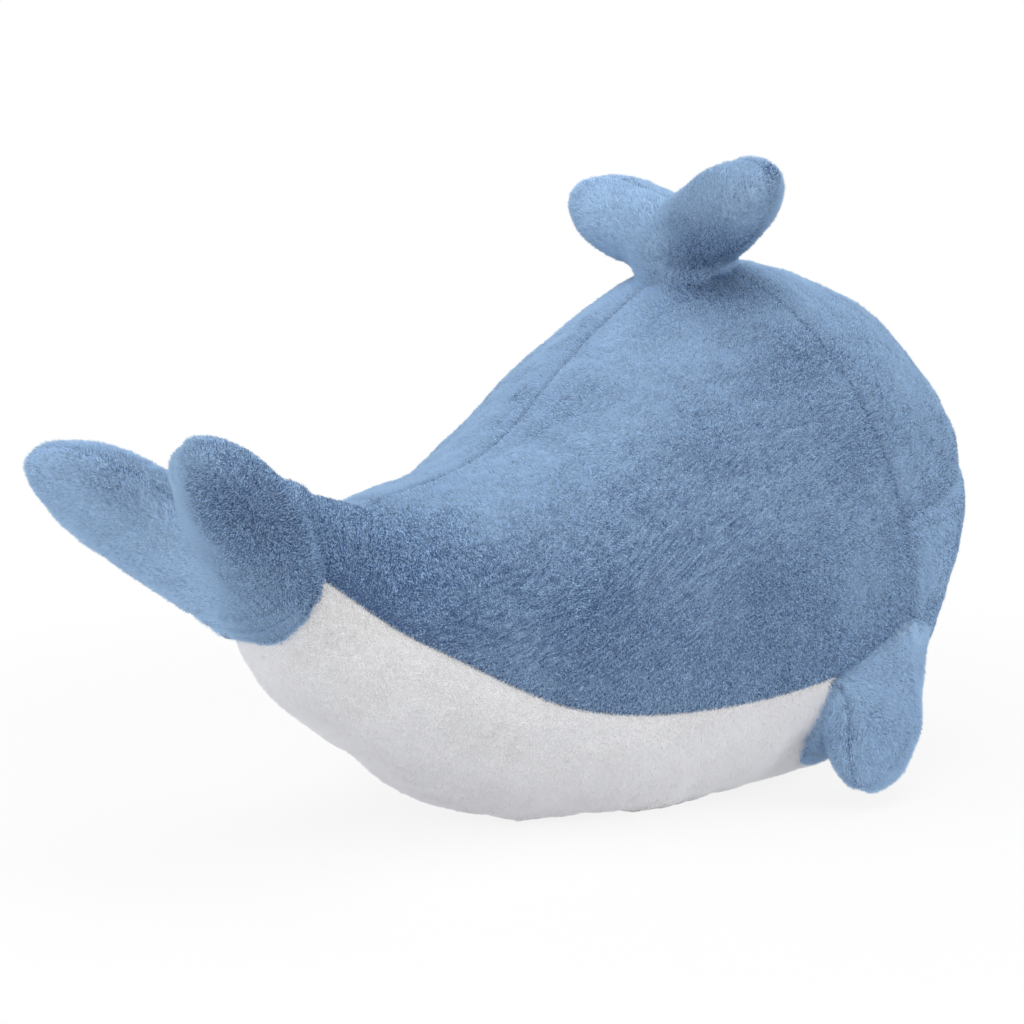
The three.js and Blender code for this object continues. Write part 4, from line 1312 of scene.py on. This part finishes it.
spout = spout_frame()
spout_parts = lobes(SPOUT, SPOUT_SPREAD, 0.0, spout, 0.0, SPOUT_PILE)
lift = np.array(spout[0][:, 0]) * STEM["height"]
spout_parts = [(points + lift, faces) for points, faces in spout_parts] + [stem(spout)]
spout_names = ("spout_back_plush", "spout_front_plush")
plush_limb(
    limb_covers(spout_names, spout_parts, spout, 0.0, SPOUT["length"], blue_backing, SPOUT_SEED),
    ("spout_back_cover", "spout_front_cover"),
    SPOUT_ROOT - lift * SPOUT_FLEX[0],
    21,
)
raised = (spout[0], spout[1] + lift)
spout_fibre = limb_filling("spout_fibre", SPOUT, SPOUT_SPREAD, 0.0, raised, *SPOUT_FIBRE, fibre)
settle(spout_fibre, "spout", "fibre_filling", "spout_filling")

fin = fin_frame()
for side, seed in (("right", 31), ("left", 41)):
    flip = mirror(side)
    plush_limb(
        fin_covers(side, fin, blue_backing, FIN_SEED),
        (side + "_fin_outer_cover", side + "_fin_inner_cover"),
        fin[1] * flip,
        seed,
    )
    filling = limb_filling(side + "_fin_fibre", FIN, 0.0, FIN_BEND, fin, *FIN_FIBRE, fibre, side == "left")
    settle(filling, side + "_fin", "fibre_filling", side + "_fin_filling")


# Floor, light and camera

def seen_plainly(tree):
    """One for what the camera sees straight, in gloss or through glass, and nought for other light."""
    path = tree.add("ShaderNodeLightPath")
    seen = tree.math("MAXIMUM", path.outputs["Is Camera Ray"], path.outputs["Is Glossy Ray"])
    return tree.math("MAXIMUM", seen, path.outputs["Is Transmission Ray"])


def floor_material():
    """A white studio floor that keeps the whale's soft shadow and fades into the white behind."""
    material, tree = new_material("studio_floor")
    matte = tree.add("ShaderNodeBsdfDiffuse", {"Color": srgb(246, 246, 246)})
    white = tree.add("ShaderNodeEmission", {"Color": (1, 1, 1, 1), "Strength": 1.0})
    place = tree.add("ShaderNodeTexCoord").outputs["Object"]
    away = tree.add("ShaderNodeVectorMath", {0: place}, operation="LENGTH").outputs["Value"]
    whiter = tree.add(
        "ShaderNodeMapRange",
        {"Value": away, "From Min": 0.30, "From Max": 0.75, "To Min": 0.86, "To Max": 1.0},
        interpolation_type="SMOOTHSTEP",
    )
    share = tree.math("MULTIPLY", seen_plainly(tree), whiter.outputs[0])
    shader = tree.add("ShaderNodeMixShader", {0: share, 1: matte.outputs[0], 2: white.outputs[0]})
    finish_material(tree, shader)
    return material


def build_floor():
    """A floor that reaches far past the picture."""
    reach = 6.0
    corners = [(-reach, -reach, 0), (reach, -reach, 0), (reach, reach, 0), (-reach, reach, 0)]
    mesh = mesh_of("studio_floor", corners, [[0, 1, 2, 3]])
    floor = placed("studio_floor", mesh, floor_material())


def build_world(strength):
    """An even white studio, plain white behind the object."""
    world = bpy.data.worlds.new("studio")
    bpy.context.scene.world = world
    world.use_nodes = True
    world.node_tree.nodes.clear()
    tree = Tree(world.node_tree)
    level = tree.math("MAXIMUM", seen_plainly(tree), strength)
    background = tree.add("ShaderNodeBackground", {"Color": (1, 1, 1, 1), "Strength": level})
    tree.add("ShaderNodeOutputWorld", {"Surface": background.outputs[0]})


def area_light(name, place, aim, size, power):
    """A square soft box at a place, turned to its aim."""
    data = bpy.data.lights.new(name, "AREA")
    data.shape = "SQUARE"
    data.size = size
    data.energy = power
    light = bpy.data.objects.new(name, data)
    light.location = place
    light.rotation_euler = (Vector(aim) - Vector(place)).to_track_quat("-Z", "Y").to_euler()
    bpy.context.scene.collection.objects.link(light)


def build_camera():
    """The photograph's viewpoint."""
    cos_a, sin_a = math.cos(CAMERA_AZIMUTH), math.sin(CAMERA_AZIMUTH)
    cos_e, sin_e = math.cos(CAMERA_ELEVATION), math.sin(CAMERA_ELEVATION)
    right = np.array([cos_a, sin_a, 0])
    back = np.array([sin_a * cos_e, -cos_a * cos_e, sin_e])
    up = np.cross(back, right)
    place = CAMERA_TARGET + right * CAMERA_OFFSET[0] + up * CAMERA_OFFSET[1] + back * CAMERA_DISTANCE
    data = bpy.data.cameras.new("camera")
    data.lens = CAMERA_LENS
    data.sensor_width = 36
    camera = bpy.data.objects.new("camera", data)
    turn = Matrix(np.stack([right, up, back], -1).tolist()).to_4x4()
    camera.matrix_world = Matrix.Translation(Vector(place)) @ turn
    bpy.context.scene.collection.objects.link(camera)
    bpy.context.scene.camera = camera


build_floor()
build_world(strength=0.42)
area_light("overhead", place=(-0.25, -0.25, 1.9), aim=(0, 0, 0.1), size=1.6, power=20.4)
area_light("left_fill", place=(-1.5, -0.8, 0.35), aim=(-0.1, 0, 0.12), size=1.1, power=12.0)
area_light("right_fill", place=(0.9, -1.5, 0.35), aim=(0.1, 0, 0.12), size=1.1, power=10.0)
build_camera()
bpy.context.scene.view_settings.view_transform = "Standard"
